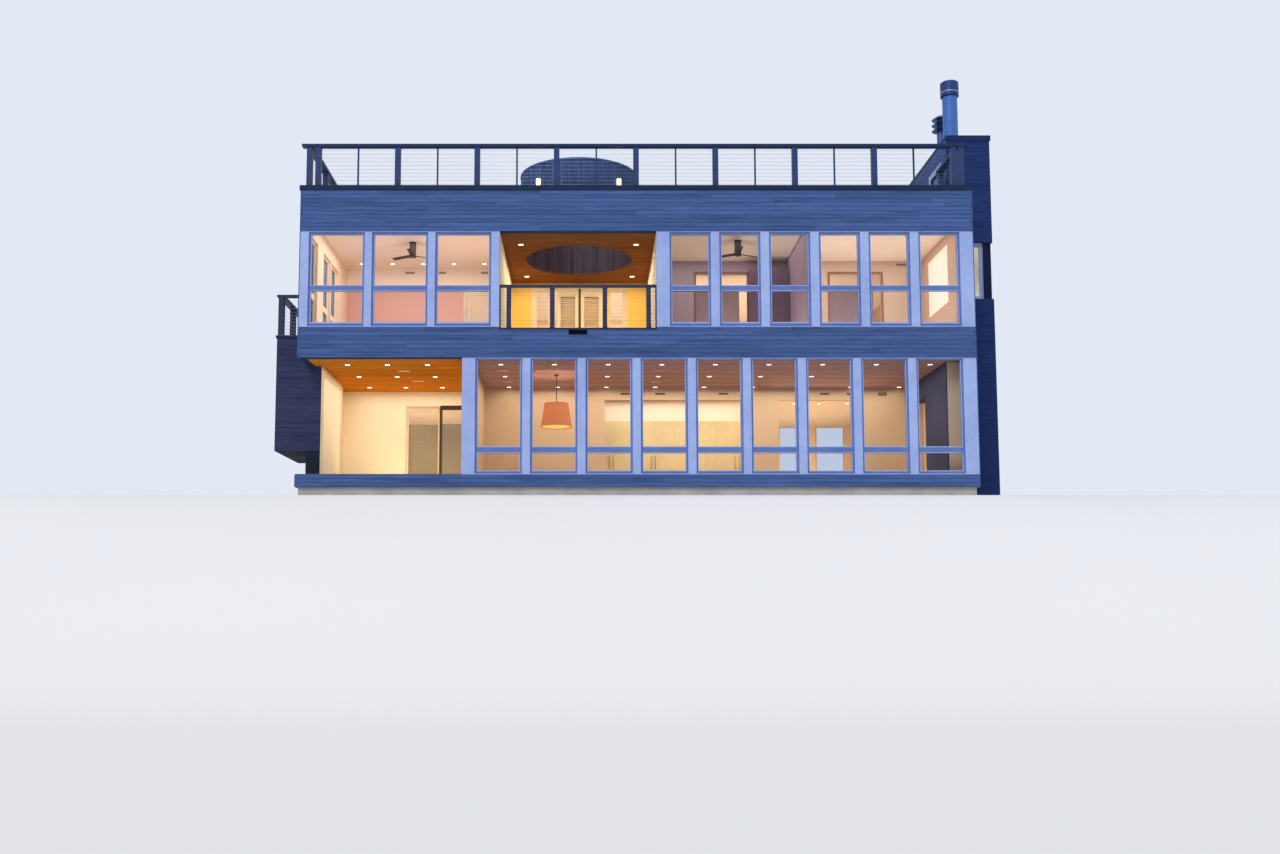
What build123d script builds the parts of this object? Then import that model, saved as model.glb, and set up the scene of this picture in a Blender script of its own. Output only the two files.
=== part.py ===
from build123d import *
import math
import os

# Two-storey flat-roofed beach house with a roof deck, in millimetres.
# X runs along the front, Y runs from the front to the back, Z is up.
# The origin is on the ground, in the middle of the whole footprint.

# Overall sizes
house_w = 16330
house_d = 11200
wing_out = 760
tower_out = 1120
deck_lip = 40
wall_t = 200

# Heights of the storeys, each measured from the one below
plinth_h = 550
lower_clear_h = 2830
mid_band_h = 750
upper_window_h = 2370
roof_band_h = 1020
deck_t = 120
floor_t = 300
floor_drop = 30
ceiling_t = 40
room_h = 2800

# Window walls
corner_trim = 320
unit_edge = 20
upper_head = 70
lower_mullion = 197
upper_left_trim = 205
upper_left_mullion = 180
upper_right_mullion = 210
lower_units = 9
upper_left_units = 3
upper_right_units = 6
sash_face = 58
sash_head = 40
sash_depth = 90
sash_setback = 45
glass_t = 24
lower_sill_h = 100
lower_transom_low = 520
lower_transom_high = 680
upper_sill_h = 130
upper_transom_low = 900
upper_transom_high = 1040

# Window groups on the sides and the rear, with their distances from the corners
side_group = 3
side_unit_w = 997
left_group_inset = 1000
right_group = 2
right_group_inset = 1200
rear_groups = 3
rear_group_inset = 900
left_narrow_start = 300
left_narrow_w = 740
left_wide_start = 1720
left_wide_w = 1870
left_wide_mullion = 70

# Porch, its sliding door and the partition beside the living room
porch_w = 3957
porch_d = 4640
door_header_h = 390
door_opening_w = 1900
door_jamb_w = 125
door_leaf_w = 960
door_leaf_t = 45
door_frame_w = 75
track_t = 110
track_h = 40
track_gap = 6
track_lip = 5
leaf_spacing = 55
roller_r = 14
roller_w = 12
roller_inset = 160
roller_seat = 0.3

# Wing on the left of the porch
wing_inset = 350
wing_front = 1050
wing_len = 2520
wing_lift = 700
wing_wall_t = 120
wing_deck_t = 60
wing_top_drop = 10
wing_rail_h = 1045

# Balcony cut into the upper storey
balcony_x = 4841
balcony_w = 3806
balcony_d = 4790
balcony_edge_drop = 70
balcony_rail_h = 1080
balcony_rail_post = 60
balcony_rail_end = 30
balcony_rail_inset = 30
balcony_cap_t = 65
balcony_posts = (228, 1280, 2555, 3612)
balcony_door_units = 4
balcony_door_head = 2240
balcony_door_trim = 350
balcony_door_mullion = 60
scupper_w = 450
scupper_h = 120

# Round roof light over the balcony
drum_r = 1420
drum_t = 100
drum_centre_d = 2530
drum_h = 1090

# Guard rails
rail_h = 1090
rail_cap_w = 190
rail_cap_t = 60
rail_post = 135
rail_picket = 40
rail_inset = 120
rail_end_inset = 295
rail_left_inset = 80
rail_right_inset = 115
front_rail_bays = 8
side_rail_bays = 6
tower_rail_bays = 1
rear_corner_rail_bays = 2

# Tower on the right
tower_front = 2000
tower_rear_inset = 3600
tower_wall_t = 150
tower_top_h = 2040
tower_roof_t = 140
tower_window_low = 4780
tower_window_high = 6270
tower_window_w = 650
tower_notch = 60
tower_corner_post = 160
tower_frame_w = 85
tower_frame_t = 50
tower_door_inset = 540
tower_door_w = 900
tower_door_h = 1330
tower_door_t = 50
tower_door_setback = 40
tower_door_trim = 150
tower_door_trim_t = 25

# Flues on the tower
flue_r = 200
flue_h = 2070
flue_depth = 1450
flue_cap_r = 245
flue_cap_h = 400
flue_cap_edge = 20
vent_r = 115
vent_h = 1480
vent_depth = 2340
vent_cap_r = 250
vent_louvres = 3
louvre_h = 100
louvre_gap = 60
flue_x_in = 570

# Inside
inner_wall_t = 120
living_rear_depth = 4100
living_opening_drop = 330
living_openings = ((7438, 3887), (12180, 2305))
right_room_depth = 3980
room_door_h = 2436
room_door_w = 1400
room_doors = (9950, 13625)
partition_in_x = 12440
chimney_breast_w = 390
chimney_breast_start = 530
chimney_breast_len = 1940
chimney_beam_len = 1100
chimney_beam_h = 510

# Kitchen cupboards behind the living room
kitchen_in_x = 7050
kitchen_depth = 5900
kitchen_h = 2200
kitchen_t = 600
cupboard_w = 600
cupboards = 8
cupboard_door_t = 18
cupboard_gap = 4
cupboard_plinth_h = 100
cupboard_plinth_in = 60

# Ceiling fans, with the place of each measured from the left front corner
fan_left_x = 2404
fan_left_y = 2260
fan_right_x = 10880
fan_right_y = 2100
fan_r = 90
fan_housing_h = 300
fan_hub_h = 90
fan_gap = 6
fan_pin_r = 12
fan_pin_h = 40
fan_pin_gap = 0.5
fan_pin_end = 6
fan_blades = 3
fan_span = 640
fan_blade_w = 125
fan_blade_t = 10
fan_pitch = 12
fan_turn = 30
fan_blade_root = 10

# Lamps on the drum
lamp_r = 55
lamp_h = 220
lamp_z = 420
lamp_seat = 0.3
lamp_angle = 41
lamp_bed = 5

# Foundation
foundation_t = 300
foundation_inset = 60

# Pendant lamp
pendant_in_x = 6170
pendant_in_y = 2200
pendant_rod_r = 12
pendant_rose_r = 60
pendant_rose_t = 25
pendant_seat = 0.8
shade_lift = 1470
shade_h = 610
shade_low_r = 405
shade_top_r = 315
shade_t = 12
shade_sides = 36
spider_arms = 3
spider_drop = 60
spider_t = 12

# Places worked out from the sizes
left = -(wing_out + house_w + tower_out) / 2 + wing_out
right = left + house_w
front = -house_d / 2
rear = house_d / 2
floor_1 = plinth_h
ceiling_1 = floor_1 + lower_clear_h
sill_2 = ceiling_1 + mid_band_h
floor_2 = sill_2 - floor_drop
head_2 = sill_2 + upper_window_h
roof_low = head_2 + roof_band_h
roof_top = roof_low + deck_t
tower_right = right + tower_out
tower_y0 = front + tower_front
tower_y1 = rear - tower_rear_inset
tower_top = roof_top + tower_top_h
porch_right = left + porch_w
balcony_x0 = left + balcony_x
balcony_x1 = balcony_x0 + balcony_w
porch_rear = front + porch_d
balcony_rear = front + balcony_d
room_ceiling = floor_2 + room_h
foundation_top = floor_1 - floor_t
door_head = ceiling_1 - door_header_h

# Outer faces of the four sides, looking at them from outside, with local X to the viewer's right
front_face = Plane(origin=(0, front, 0), x_dir=(1, 0, 0), z_dir=(0, -1, 0))
rear_face = Plane(origin=(0, rear, 0), x_dir=(-1, 0, 0), z_dir=(0, 1, 0))
left_face = Plane(origin=(left, 0, 0), x_dir=(0, -1, 0), z_dir=(-1, 0, 0))
right_face = Plane(origin=(right, 0, 0), x_dir=(0, 1, 0), z_dir=(1, 0, 0))


def block(x, y, z, mode=Mode.ADD):
    """A box between two values on each axis, made in the part being built."""
    middle = tuple((low + high) / 2 for low, high in (x, y, z))
    with Locations(middle):
        Box(x[1] - x[0], y[1] - y[0], z[1] - z[0], mode=mode)


def panel(u, v, mode=Mode.ADD):
    """A rectangle between two values on each local axis, made in the sketch being built."""
    with Locations(((u[0] + u[1]) / 2, (v[0] + v[1]) / 2)):
        Rectangle(u[1] - u[0], v[1] - v[0], mode=mode)


def unit_spans(start, end, units, mullion):
    """The left and right edge of each window unit between two trims."""
    width = (end - start - (units - 1) * mullion) / units
    return [(start + i * (width + mullion), start + i * (width + mullion) + width) for i in range(units)]


def pane_heights(storey):
    """The lower and the upper pane of a window unit, as heights above the ground."""
    if storey == "lower":
        return [(floor_1 + lower_sill_h, floor_1 + lower_transom_low),
                (floor_1 + lower_transom_high, ceiling_1 - sash_head)]
    return [(sill_2 + upper_sill_h, sill_2 + upper_transom_low),
            (sill_2 + upper_transom_high, head_2 - upper_head)]


def window_wall(face, outline, units, v, storey):
    """A wall piece with window units: full-depth trims, and set-back sashes round two panes each."""
    with BuildSketch(face) as trims:
        panel(outline, v)
        for u in units:
            panel(u, v_unit(v), mode=Mode.SUBTRACT)
    extrude(trims.sketch, amount=-wall_t)
    with BuildSketch(face.offset(-sash_setback)) as sashes:
        for u in units:
            panel(u, v_unit(v))
            for pane in pane_heights(storey):
                panel((u[0] + sash_face, u[1] - sash_face), pane, mode=Mode.SUBTRACT)
    extrude(sashes.sketch, amount=-sash_depth)


def window_panes(face, units, storey):
    """The glass of the units of a window wall, one solid for each pane."""
    with BuildSketch(face.offset(-sash_setback - (sash_depth - glass_t) / 2)) as panes:
        for u in units:
            for pane in pane_heights(storey):
                panel((u[0] + sash_face, u[1] - sash_face), pane)
    extrude(panes.sketch, amount=-glass_t)


def v_unit(v):
    """The height of a window unit in a wall piece, inside the sill and the head trim."""
    return (v[0] + unit_edge, v[1] - unit_edge)


lower_span = (floor_1, ceiling_1)
upper_span = (sill_2, head_2)

lower_front_units = unit_spans(porch_right + corner_trim, right - corner_trim, lower_units, lower_mullion)
upper_left_spans = unit_spans(left + upper_left_trim, balcony_x0 - upper_left_trim,
                              upper_left_units, upper_left_mullion)
upper_right_spans = unit_spans(balcony_x1 + corner_trim, right - corner_trim,
                               upper_right_units, upper_right_mullion)

# Groups of the same units in the side and rear walls, and two windows beside the wing's terrace
side_group_w = side_group * side_unit_w + (side_group - 1) * upper_right_mullion
left_units = unit_spans(left_group_inset - rear, left_group_inset - rear + side_group_w,
                        side_group, upper_right_mullion)
left_wide_end = -front - left_wide_start
left_narrow_end = -front - left_narrow_start
left_front_units = unit_spans(left_wide_end - left_wide_w, left_wide_end, 2, left_wide_mullion)
left_front_units += [(left_narrow_end - left_narrow_w, left_narrow_end)]
right_group_w = right_group * side_unit_w + (right_group - 1) * upper_right_mullion
right_units = unit_spans(rear - right_group_inset - right_group_w, rear - right_group_inset,
                         right_group, upper_right_mullion)
rear_pitch = (house_w - 2 * rear_group_inset - side_group_w) / (rear_groups - 1)
rear_units = []
for i in range(rear_groups):
    start = -right + rear_group_inset + i * rear_pitch
    rear_units += unit_spans(start, start + side_group_w, side_group, upper_right_mullion)

os.makedirs("parts", exist_ok=True)

# Foundation wall round the house, with one across the middle
foundation_x = (left + foundation_inset, right - foundation_inset)
foundation_y = (front + foundation_inset, rear - foundation_inset)
with BuildPart() as foundation:
    block(foundation_x, foundation_y, (0, foundation_top))
    inner_y = (foundation_y[0] + foundation_t, foundation_y[1] - foundation_t)
    for inner_x in ((foundation_x[0] + foundation_t, -foundation_t / 2),
                    (foundation_t / 2, foundation_x[1] - foundation_t)):
        block(inner_x, inner_y, (0, foundation_top), mode=Mode.SUBTRACT)
foundation.part.label = "foundation"
export_step(foundation.part, "parts/foundation.step")

# Ground floor, in an L round the porch, and the porch floor
with BuildPart() as ground_floor:
    block((porch_right, right), (front, rear), (foundation_top, floor_1))
    block((left, porch_right), (porch_rear, rear), (foundation_top, floor_1))
ground_floor.part.label = "ground_floor"
export_step(ground_floor.part, "parts/ground_floor.step")

with BuildPart() as porch_floor:
    block((left, porch_right), (front, porch_rear), (foundation_top, floor_1))
porch_floor.part.label = "porch_floor"
export_step(porch_floor.part, "parts/porch_floor.step")

# Front window walls: the lower storey, and the upper one left and right of the balcony
with BuildPart() as front_window_walls:
    window_wall(front_face, (porch_right, right), lower_front_units, lower_span, "lower")
    window_wall(front_face, (left, balcony_x0), upper_left_spans, upper_span, "upper")
    window_wall(front_face, (balcony_x1, right), upper_right_spans, upper_span, "upper")
front_window_walls.part.label = "front_window_walls"
export_step(front_window_walls.part, "parts/front_window_walls.step")

with BuildPart() as front_glass:
    window_panes(front_face, lower_front_units, "lower")
    window_panes(front_face, upper_left_spans + upper_right_spans, "upper")
front_glass.part.label = "front_glass"
export_step(front_glass.part, "parts/front_glass.step")

# Wall between the porch and the living room
with BuildPart() as porch_side_wall:
    block((porch_right, porch_right + wall_t), (front + wall_t, porch_rear), lower_span)
porch_side_wall.part.label = "porch_side_wall"
export_step(porch_side_wall.part, "parts/porch_side_wall.step")

# Rear wall of the porch, beside and over the sliding door
door_right = porch_right - door_jamb_w
door_left = door_right - door_opening_w
porch_wall_y = (porch_rear, porch_rear + wall_t)
with BuildPart() as porch_rear_wall:
    block((left + wall_t, door_left), porch_wall_y, lower_span)
    block((door_right, porch_right + wall_t), porch_wall_y, lower_span)
porch_rear_wall.part.label = "porch_rear_wall"
export_step(porch_rear_wall.part, "parts/porch_rear_wall.step")

with BuildPart() as porch_door_header:
    block((door_left, door_right), porch_wall_y, (door_head, ceiling_1))
porch_door_header.part.label = "porch_door_header"
export_step(porch_door_header.part, "parts/porch_door_header.step")

# Head and sill tracks of the sliding door
track_y = (porch_rear, porch_rear + track_t)
with BuildPart() as porch_door_tracks:
    block((door_left, door_right), track_y, (floor_1, floor_1 + track_h))
    block((door_left, door_right), track_y, (door_head - track_h, door_head))
porch_door_tracks.part.label = "porch_door_tracks"
export_step(porch_door_tracks.part, "parts/porch_door_tracks.step")

# Fixed panel on the left, and the leaf on the right that slides over it on the outside
leaf_low = floor_1 + track_h + track_gap
leaf_high = door_head - track_h - track_gap
fixed_y = porch_rear + track_t - track_lip - door_leaf_t
with BuildPart() as porch_fixed_panel:
    with BuildSketch(Plane.XZ.offset(-fixed_y)):
        panel((door_left, door_left + door_leaf_w), (floor_1 + track_h, door_head - track_h))
        panel((door_left + door_frame_w, door_left + door_leaf_w - door_frame_w),
              (leaf_low + door_frame_w, leaf_high - door_frame_w), mode=Mode.SUBTRACT)
    extrude(amount=-door_leaf_t)
porch_fixed_panel.part.label = "porch_fixed_panel"
export_step(porch_fixed_panel.part, "parts/porch_fixed_panel.step")

with BuildPart() as porch_door:
    with BuildSketch(Plane.XZ.offset(-(fixed_y - leaf_spacing))):
        panel((door_right - track_gap - door_leaf_w, door_right - track_gap), (leaf_low, leaf_high))
        panel((door_right - track_gap - door_leaf_w + door_frame_w, door_right - track_gap - door_frame_w),
              (leaf_low + door_frame_w, leaf_high - door_frame_w), mode=Mode.SUBTRACT)
    extrude(amount=-door_leaf_t)
    for x in (door_right - door_leaf_w + roller_inset, door_right - roller_inset):
        with BuildSketch(Plane.XZ.offset(-(fixed_y - leaf_spacing + (door_leaf_t - roller_w) / 2))):
            with Locations((x, leaf_low - track_gap + roller_seat + roller_r)):
                Circle(roller_r)
        extrude(amount=-roller_w)
porch_door.part.label = "porch_door"
export_step(porch_door.part, "parts/porch_door.step")

with BuildPart() as porch_door_glass:
    with BuildSketch(Plane.XZ.offset(-(fixed_y - leaf_spacing + (door_leaf_t - glass_t) / 2))):
        panel((door_right - track_gap - door_leaf_w + door_frame_w, door_right - track_gap - door_frame_w),
              (leaf_low + door_frame_w, leaf_high - door_frame_w))
    extrude(amount=-glass_t)
porch_door_glass.part.label = "porch_door_glass"
export_step(porch_door_glass.part, "parts/porch_door_glass.step")

# Outer walls of the sides and the rear, a piece for each storey
wing_rear = front + wing_front + wing_len
side_wall_u = (front + wall_t, rear - wall_t)
with BuildPart() as side_walls:
    window_wall(left_face, (-side_wall_u[1], -wing_rear), left_units, lower_span, "lower")
    window_wall(left_face, (-side_wall_u[1], -side_wall_u[0]), left_units + left_front_units,
                upper_span, "upper")
    for storey, span in (("lower", lower_span), ("upper", upper_span)):
        window_wall(right_face, side_wall_u, right_units, span, storey)
side_walls.part.label = "side_walls"
export_step(side_walls.part, "parts/side_walls.step")

with BuildPart() as rear_walls:
    for storey, span in (("lower", lower_span), ("upper", upper_span)):
        window_wall(rear_face, (-right, -left), rear_units, span, storey)
rear_walls.part.label = "rear_walls"
export_step(rear_walls.part, "parts/rear_walls.step")

with BuildPart() as side_and_rear_glass:
    window_panes(left_face, left_units, "lower")
    window_panes(left_face, left_units + left_front_units, "upper")
    for storey in ("lower", "upper"):
        window_panes(right_face, right_units, storey)
        window_panes(rear_face, rear_units, storey)
side_and_rear_glass.part.label = "side_and_rear_glass"
export_step(side_and_rear_glass.part, "parts/side_and_rear_glass.step")

# Wing: a raised box beside the porch, carried by a pier, with a small terrace on top
wing_x = (left - wing_out, left + wing_inset)
wing_y = (front + wing_front, wing_rear)
wing_z = (floor_1 + wing_lift, floor_2 - wing_top_drop)
with BuildPart() as wing_shell:
    block(wing_x, wing_y, (wing_z[0], ceiling_1))
    block((wing_x[0], left), wing_y, (ceiling_1, wing_z[1]))
    block((wing_x[0] + wing_wall_t, wing_x[1] - wing_wall_t),
          (wing_y[0] + wing_wall_t, wing_y[1] - wing_wall_t),
          (wing_z[0] + wing_wall_t, ceiling_1 - wing_wall_t), mode=Mode.SUBTRACT)
wing_shell.part.label = "wing_shell"
export_step(wing_shell.part, "parts/wing_shell.step")

with BuildPart() as wing_pier:
    block((left, wing_x[1]), wing_y, (floor_1, wing_z[0]))
wing_pier.part.label = "wing_pier"
export_step(wing_pier.part, "parts/wing_pier.step")

with BuildPart() as wing_deck:
    block((wing_x[0] - deck_lip, left), (wing_y[0] - deck_lip, wing_y[1] + deck_lip),
          (wing_z[1], wing_z[1] + wing_deck_t))
wing_deck.part.label = "wing_deck"
export_step(wing_deck.part, "parts/wing_deck.step")

wing_rail_low = wing_z[1] + wing_deck_t
wing_rail_top = wing_rail_low + wing_rail_h
with BuildPart() as wing_railing:
    post_z = (wing_rail_low, wing_rail_top - rail_cap_t)
    cap_z = (wing_rail_top - rail_cap_t, wing_rail_top)
    for y in (wing_y[0], (wing_y[0] + wing_y[1] - rail_post) / 2, wing_y[1] - rail_post):
        block((wing_x[0], wing_x[0] + rail_post), (y, y + rail_post), post_z)
    for y in (wing_y[0], wing_y[1] - rail_post):
        block((left - rail_post, left), (y, y + rail_post), post_z)
        block((wing_x[0] - deck_lip, left), (y, y + rail_post), cap_z)
    block((wing_x[0] - deck_lip, wing_x[0] + rail_post), wing_y, cap_z)
wing_railing.part.label = "wing_railing"
export_step(wing_railing.part, "parts/wing_railing.step")

# Ceilings of the lower storey
lower_ceiling_z = (ceiling_1, ceiling_1 + ceiling_t)
with BuildPart() as porch_ceiling:
    block((left + wall_t, porch_right), (front + wall_t, porch_rear), lower_ceiling_z)
porch_ceiling.part.label = "porch_ceiling"
export_step(porch_ceiling.part, "parts/porch_ceiling.step")

with BuildPart() as living_ceiling:
    block((porch_right, right - wall_t), (front + wall_t, rear - wall_t), lower_ceiling_z)
living_ceiling.part.label = "living_ceiling"
export_step(living_ceiling.part, "parts/living_ceiling.step")

# Bands of boards between the storeys and under the roof. At the balcony the lower one is cut down
# for the railing, and has a slot that drains the balcony floor.
drum_x = (balcony_x0 + balcony_x1) / 2
band_spans = ((ceiling_1, sill_2), (head_2, roof_low))
balcony_edge = sill_2 - balcony_edge_drop
front_wall_y = (front, front + wall_t)
with BuildPart() as front_and_rear_bands:
    for span in band_spans:
        block((left, right), front_wall_y, span)
        block((left, right), (rear - wall_t, rear), span)
    block((balcony_x0, balcony_x1), front_wall_y, (balcony_edge, sill_2), mode=Mode.SUBTRACT)
    block((drum_x - scupper_w / 2, drum_x + scupper_w / 2), front_wall_y,
          (balcony_edge - scupper_h, balcony_edge), mode=Mode.SUBTRACT)
front_and_rear_bands.part.label = "front_and_rear_bands"
export_step(front_and_rear_bands.part, "parts/front_and_rear_bands.step")

with BuildPart() as side_bands:
    for span in band_spans:
        for x in (left, right - wall_t):
            block((x, x + wall_t), side_wall_u, span)
side_bands.part.label = "side_bands"
export_step(side_bands.part, "parts/side_bands.step")

# Upper floor
with BuildPart() as upper_floor:
    block((left + wall_t, right - wall_t), (front + wall_t, rear - wall_t), (floor_2 - floor_t, floor_2))
upper_floor.part.label = "upper_floor"
export_step(upper_floor.part, "parts/upper_floor.step")

# Balcony: two side walls, a rear wall of glazed doors, a ceiling with a round hole and a railing
room_span = (floor_2, room_ceiling)
with BuildPart() as balcony_side_walls:
    for x in (balcony_x0 - wall_t, balcony_x1):
        block((x, x + wall_t), (front + wall_t, balcony_rear), room_span)
balcony_side_walls.part.label = "balcony_side_walls"
export_step(balcony_side_walls.part, "parts/balcony_side_walls.step")

balcony_doors_x = unit_spans(balcony_x0 + balcony_door_trim, balcony_x1 - balcony_door_trim,
                             balcony_door_units, balcony_door_mullion)
balcony_door_z = (floor_2 + sash_face, floor_2 + balcony_door_head)
with BuildPart() as balcony_rear_wall:
    with BuildSketch(Plane.XZ.offset(-balcony_rear)):
        panel((balcony_x0 - wall_t, balcony_x1 + wall_t), room_span)
        for u in balcony_doors_x:
            panel(u, balcony_door_z, mode=Mode.SUBTRACT)
    extrude(amount=-wall_t)
balcony_rear_wall.part.label = "balcony_rear_wall"
export_step(balcony_rear_wall.part, "parts/balcony_rear_wall.step")

# Glass of the balcony doors and of the fixed panel on the porch
with BuildPart() as door_glass:
    with BuildSketch(Plane.XZ.offset(-(balcony_rear + sash_setback))):
        for u in balcony_doors_x:
            panel(u, balcony_door_z)
    extrude(amount=-glass_t)
    with BuildSketch(Plane.XZ.offset(-(fixed_y + (door_leaf_t - glass_t) / 2))):
        panel((door_left + door_frame_w, door_left + door_leaf_w - door_frame_w),
              (leaf_low + door_frame_w, leaf_high - door_frame_w))
    extrude(amount=-glass_t)
door_glass.part.label = "door_glass"
export_step(door_glass.part, "parts/door_glass.step")

drum_y = front + drum_centre_d
with BuildPart() as balcony_ceiling:
    block((balcony_x0, balcony_x1), (front + wall_t, balcony_rear), (head_2, head_2 + ceiling_t))
    with Locations((drum_x, drum_y, head_2 + ceiling_t / 2)):
        Cylinder(drum_r, ceiling_t, mode=Mode.SUBTRACT)
balcony_ceiling.part.label = "balcony_ceiling"
export_step(balcony_ceiling.part, "parts/balcony_ceiling.step")

balcony_rail_y = (front + balcony_rail_inset, front + balcony_rail_inset + balcony_rail_post)
balcony_cap = (floor_2 + balcony_rail_h - balcony_cap_t, floor_2 + balcony_rail_h)
with BuildPart() as balcony_railing:
    block((balcony_x0, balcony_x1), balcony_rail_y, balcony_cap)
    block((balcony_x0, balcony_x1), balcony_rail_y, (balcony_edge, balcony_edge + balcony_rail_post))
    for x in (balcony_x0, balcony_x1 - balcony_rail_end):
        block((x, x + balcony_rail_end), balcony_rail_y, (balcony_edge, balcony_cap[0]))
    for offset_x in balcony_posts:
        x = balcony_x0 + offset_x - balcony_rail_post / 2
        block((x, x + balcony_rail_post), balcony_rail_y, (balcony_edge, balcony_cap[0]))
balcony_railing.part.label = "balcony_railing"
export_step(balcony_railing.part, "parts/balcony_railing.step")

# Rear walls of the upper rooms, with two doorways, and the wall between the two rooms on the right
right_room_y = (front + right_room_depth, front + right_room_depth + inner_wall_t)
partition_x = (left + partition_in_x, left + partition_in_x + inner_wall_t)
with BuildPart() as upper_room_walls:
    block((left + wall_t, balcony_x0 - wall_t), (balcony_rear, balcony_rear + inner_wall_t), room_span)
    block((balcony_x1 + wall_t, right - wall_t), right_room_y, room_span)
    block(partition_x, (front + wall_t, right_room_y[0]), room_span)
    for offset_x in room_doors:
        block((left + offset_x, left + offset_x + room_door_w), right_room_y,
              (floor_2, floor_2 + room_door_h), mode=Mode.SUBTRACT)
upper_room_walls.part.label = "upper_room_walls"
export_step(upper_room_walls.part, "parts/upper_room_walls.step")

# Ceiling of the upper rooms, above the window heads, in a U round the balcony
with BuildPart() as upper_ceiling:
    with BuildSketch(Plane.XY.offset(room_ceiling)):
        panel((left + wall_t, right - wall_t), (front + wall_t, rear - wall_t))
        panel((balcony_x0, balcony_x1), (front + wall_t, balcony_rear), mode=Mode.SUBTRACT)
    extrude(amount=ceiling_t)
upper_ceiling.part.label = "upper_ceiling"
export_step(upper_ceiling.part, "parts/upper_ceiling.step")

# Roof deck, whose edge stands a little proud of the band below, in a U round the bay with the drum
with BuildPart() as roof_deck:
    with BuildSketch(Plane.XY.offset(roof_low)):
        panel((left - deck_lip, right), (front - deck_lip, rear + deck_lip))
        panel((balcony_x0, balcony_x1), (front - deck_lip, balcony_rear), mode=Mode.SUBTRACT)
    extrude(amount=deck_t)
roof_deck.part.label = "roof_deck"
export_step(roof_deck.part, "parts/roof_deck.step")

with BuildPart() as roof_deck_bay:
    block((balcony_x0, balcony_x1), (front - deck_lip, balcony_rear), (roof_low, roof_top))
    with Locations((drum_x, drum_y, (roof_low + roof_top) / 2)):
        Cylinder(drum_r + drum_t, deck_t, mode=Mode.SUBTRACT)
roof_deck_bay.part.label = "roof_deck_bay"
export_step(roof_deck_bay.part, "parts/roof_deck_bay.step")

# Round drum that lights the balcony, from its ceiling up to the height of the rail
with BuildPart() as roof_drum:
    with BuildSketch(Plane.XY.offset(head_2 + ceiling_t)):
        with Locations((drum_x, drum_y)):
            Circle(drum_r + drum_t)
            Circle(drum_r, mode=Mode.SUBTRACT)
    extrude(amount=roof_top + drum_h - head_2 - ceiling_t)
roof_drum.part.label = "roof_drum"
export_step(roof_drum.part, "parts/roof_drum.step")


def rail_run(along_x, across, ends, bays, cap_ends):
    """Posts, pickets and a flat cap in one row, along X or Y, with the row's place across it given."""
    def place(along, over, z):
        block(*((along, over) if along_x else (over, along)), z)

    pitch = (ends[1] - ends[0] - rail_post) / bays
    low, high = roof_top, roof_top + rail_h - rail_cap_t
    centre = (across[0] + across[1]) / 2
    for i in range(bays + 1):
        start = ends[0] + i * pitch
        place((start, start + rail_post), across, (low, high))
        if i < bays:
            middle = start + (rail_post + pitch) / 2
            place((middle - rail_picket / 2, middle + rail_picket / 2),
                  (centre - rail_picket / 2, centre + rail_picket / 2), (low, high))
    place(cap_ends, (centre - rail_cap_w / 2, centre + rail_cap_w / 2), (high, high + rail_cap_t))


# Guard rails round the roof deck. The caps of the front and rear rails run over the corner posts.
cap_wide = (rail_cap_w - rail_post) / 2
rail_front_y = (front + rail_inset, front + rail_inset + rail_post)
rail_rear_y = (rear - rail_inset - rail_post, rear - rail_inset)
rail_left_x = (left + rail_left_inset, left + rail_left_inset + rail_post)
rail_right_x = (right - rail_right_inset - rail_post, right - rail_right_inset)
long_ends = (left + rail_end_inset, right - rail_end_inset)
long_cap = (left - deck_lip, right)
with BuildPart() as front_railing:
    rail_run(True, rail_front_y, long_ends, front_rail_bays, long_cap)
front_railing.part.label = "front_railing"
export_step(front_railing.part, "parts/front_railing.step")

with BuildPart() as rear_railing:
    rail_run(True, rail_rear_y, long_ends, front_rail_bays, long_cap)
rear_railing.part.label = "rear_railing"
export_step(rear_railing.part, "parts/rear_railing.step")

side_cap = (rail_front_y[1] + cap_wide, rail_rear_y[0] - cap_wide)
with BuildPart() as side_railings:
    rail_run(False, rail_left_x, (rail_front_y[0], rail_rear_y[1]), side_rail_bays, side_cap)
    rail_run(False, rail_right_x, (rail_front_y[0], tower_y0), tower_rail_bays, (side_cap[0], tower_y0))
    rail_run(False, rail_right_x, (tower_y1, rail_rear_y[1]), rear_corner_rail_bays, (tower_y1, side_cap[1]))
side_railings.part.label = "side_railings"
export_step(side_railings.part, "parts/side_railings.step")

# Tower on the right, with a corner window and a low door onto the roof deck
tower_z = (0, tower_top - tower_roof_t)
tower_window_z = (floor_1 + tower_window_low, floor_1 + tower_window_high)
tower_front_y = (tower_y0, tower_y0 + tower_wall_t)
corner_post_x = (tower_right - tower_notch - tower_corner_post, tower_right - tower_notch)
tower_window_x = (corner_post_x[0] - tower_window_w, corner_post_x[0])
with BuildPart() as tower_end_walls:
    block((right, tower_right), tower_front_y, tower_z)
    block((tower_window_x[0], tower_right), tower_front_y, tower_window_z, mode=Mode.SUBTRACT)
    block(corner_post_x, (tower_y0 + tower_notch, tower_front_y[1]), tower_window_z)
    block((right, tower_right), (tower_y1 - tower_wall_t, tower_y1), tower_z)
tower_end_walls.part.label = "tower_end_walls"
export_step(tower_end_walls.part, "parts/tower_end_walls.step")

tower_inner_y = (tower_y0 + tower_wall_t, tower_y1 - tower_wall_t)
with BuildPart() as tower_side_wall:
    block((tower_right - tower_wall_t, tower_right), tower_inner_y, tower_z)
tower_side_wall.part.label = "tower_side_wall"
export_step(tower_side_wall.part, "parts/tower_side_wall.step")

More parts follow.
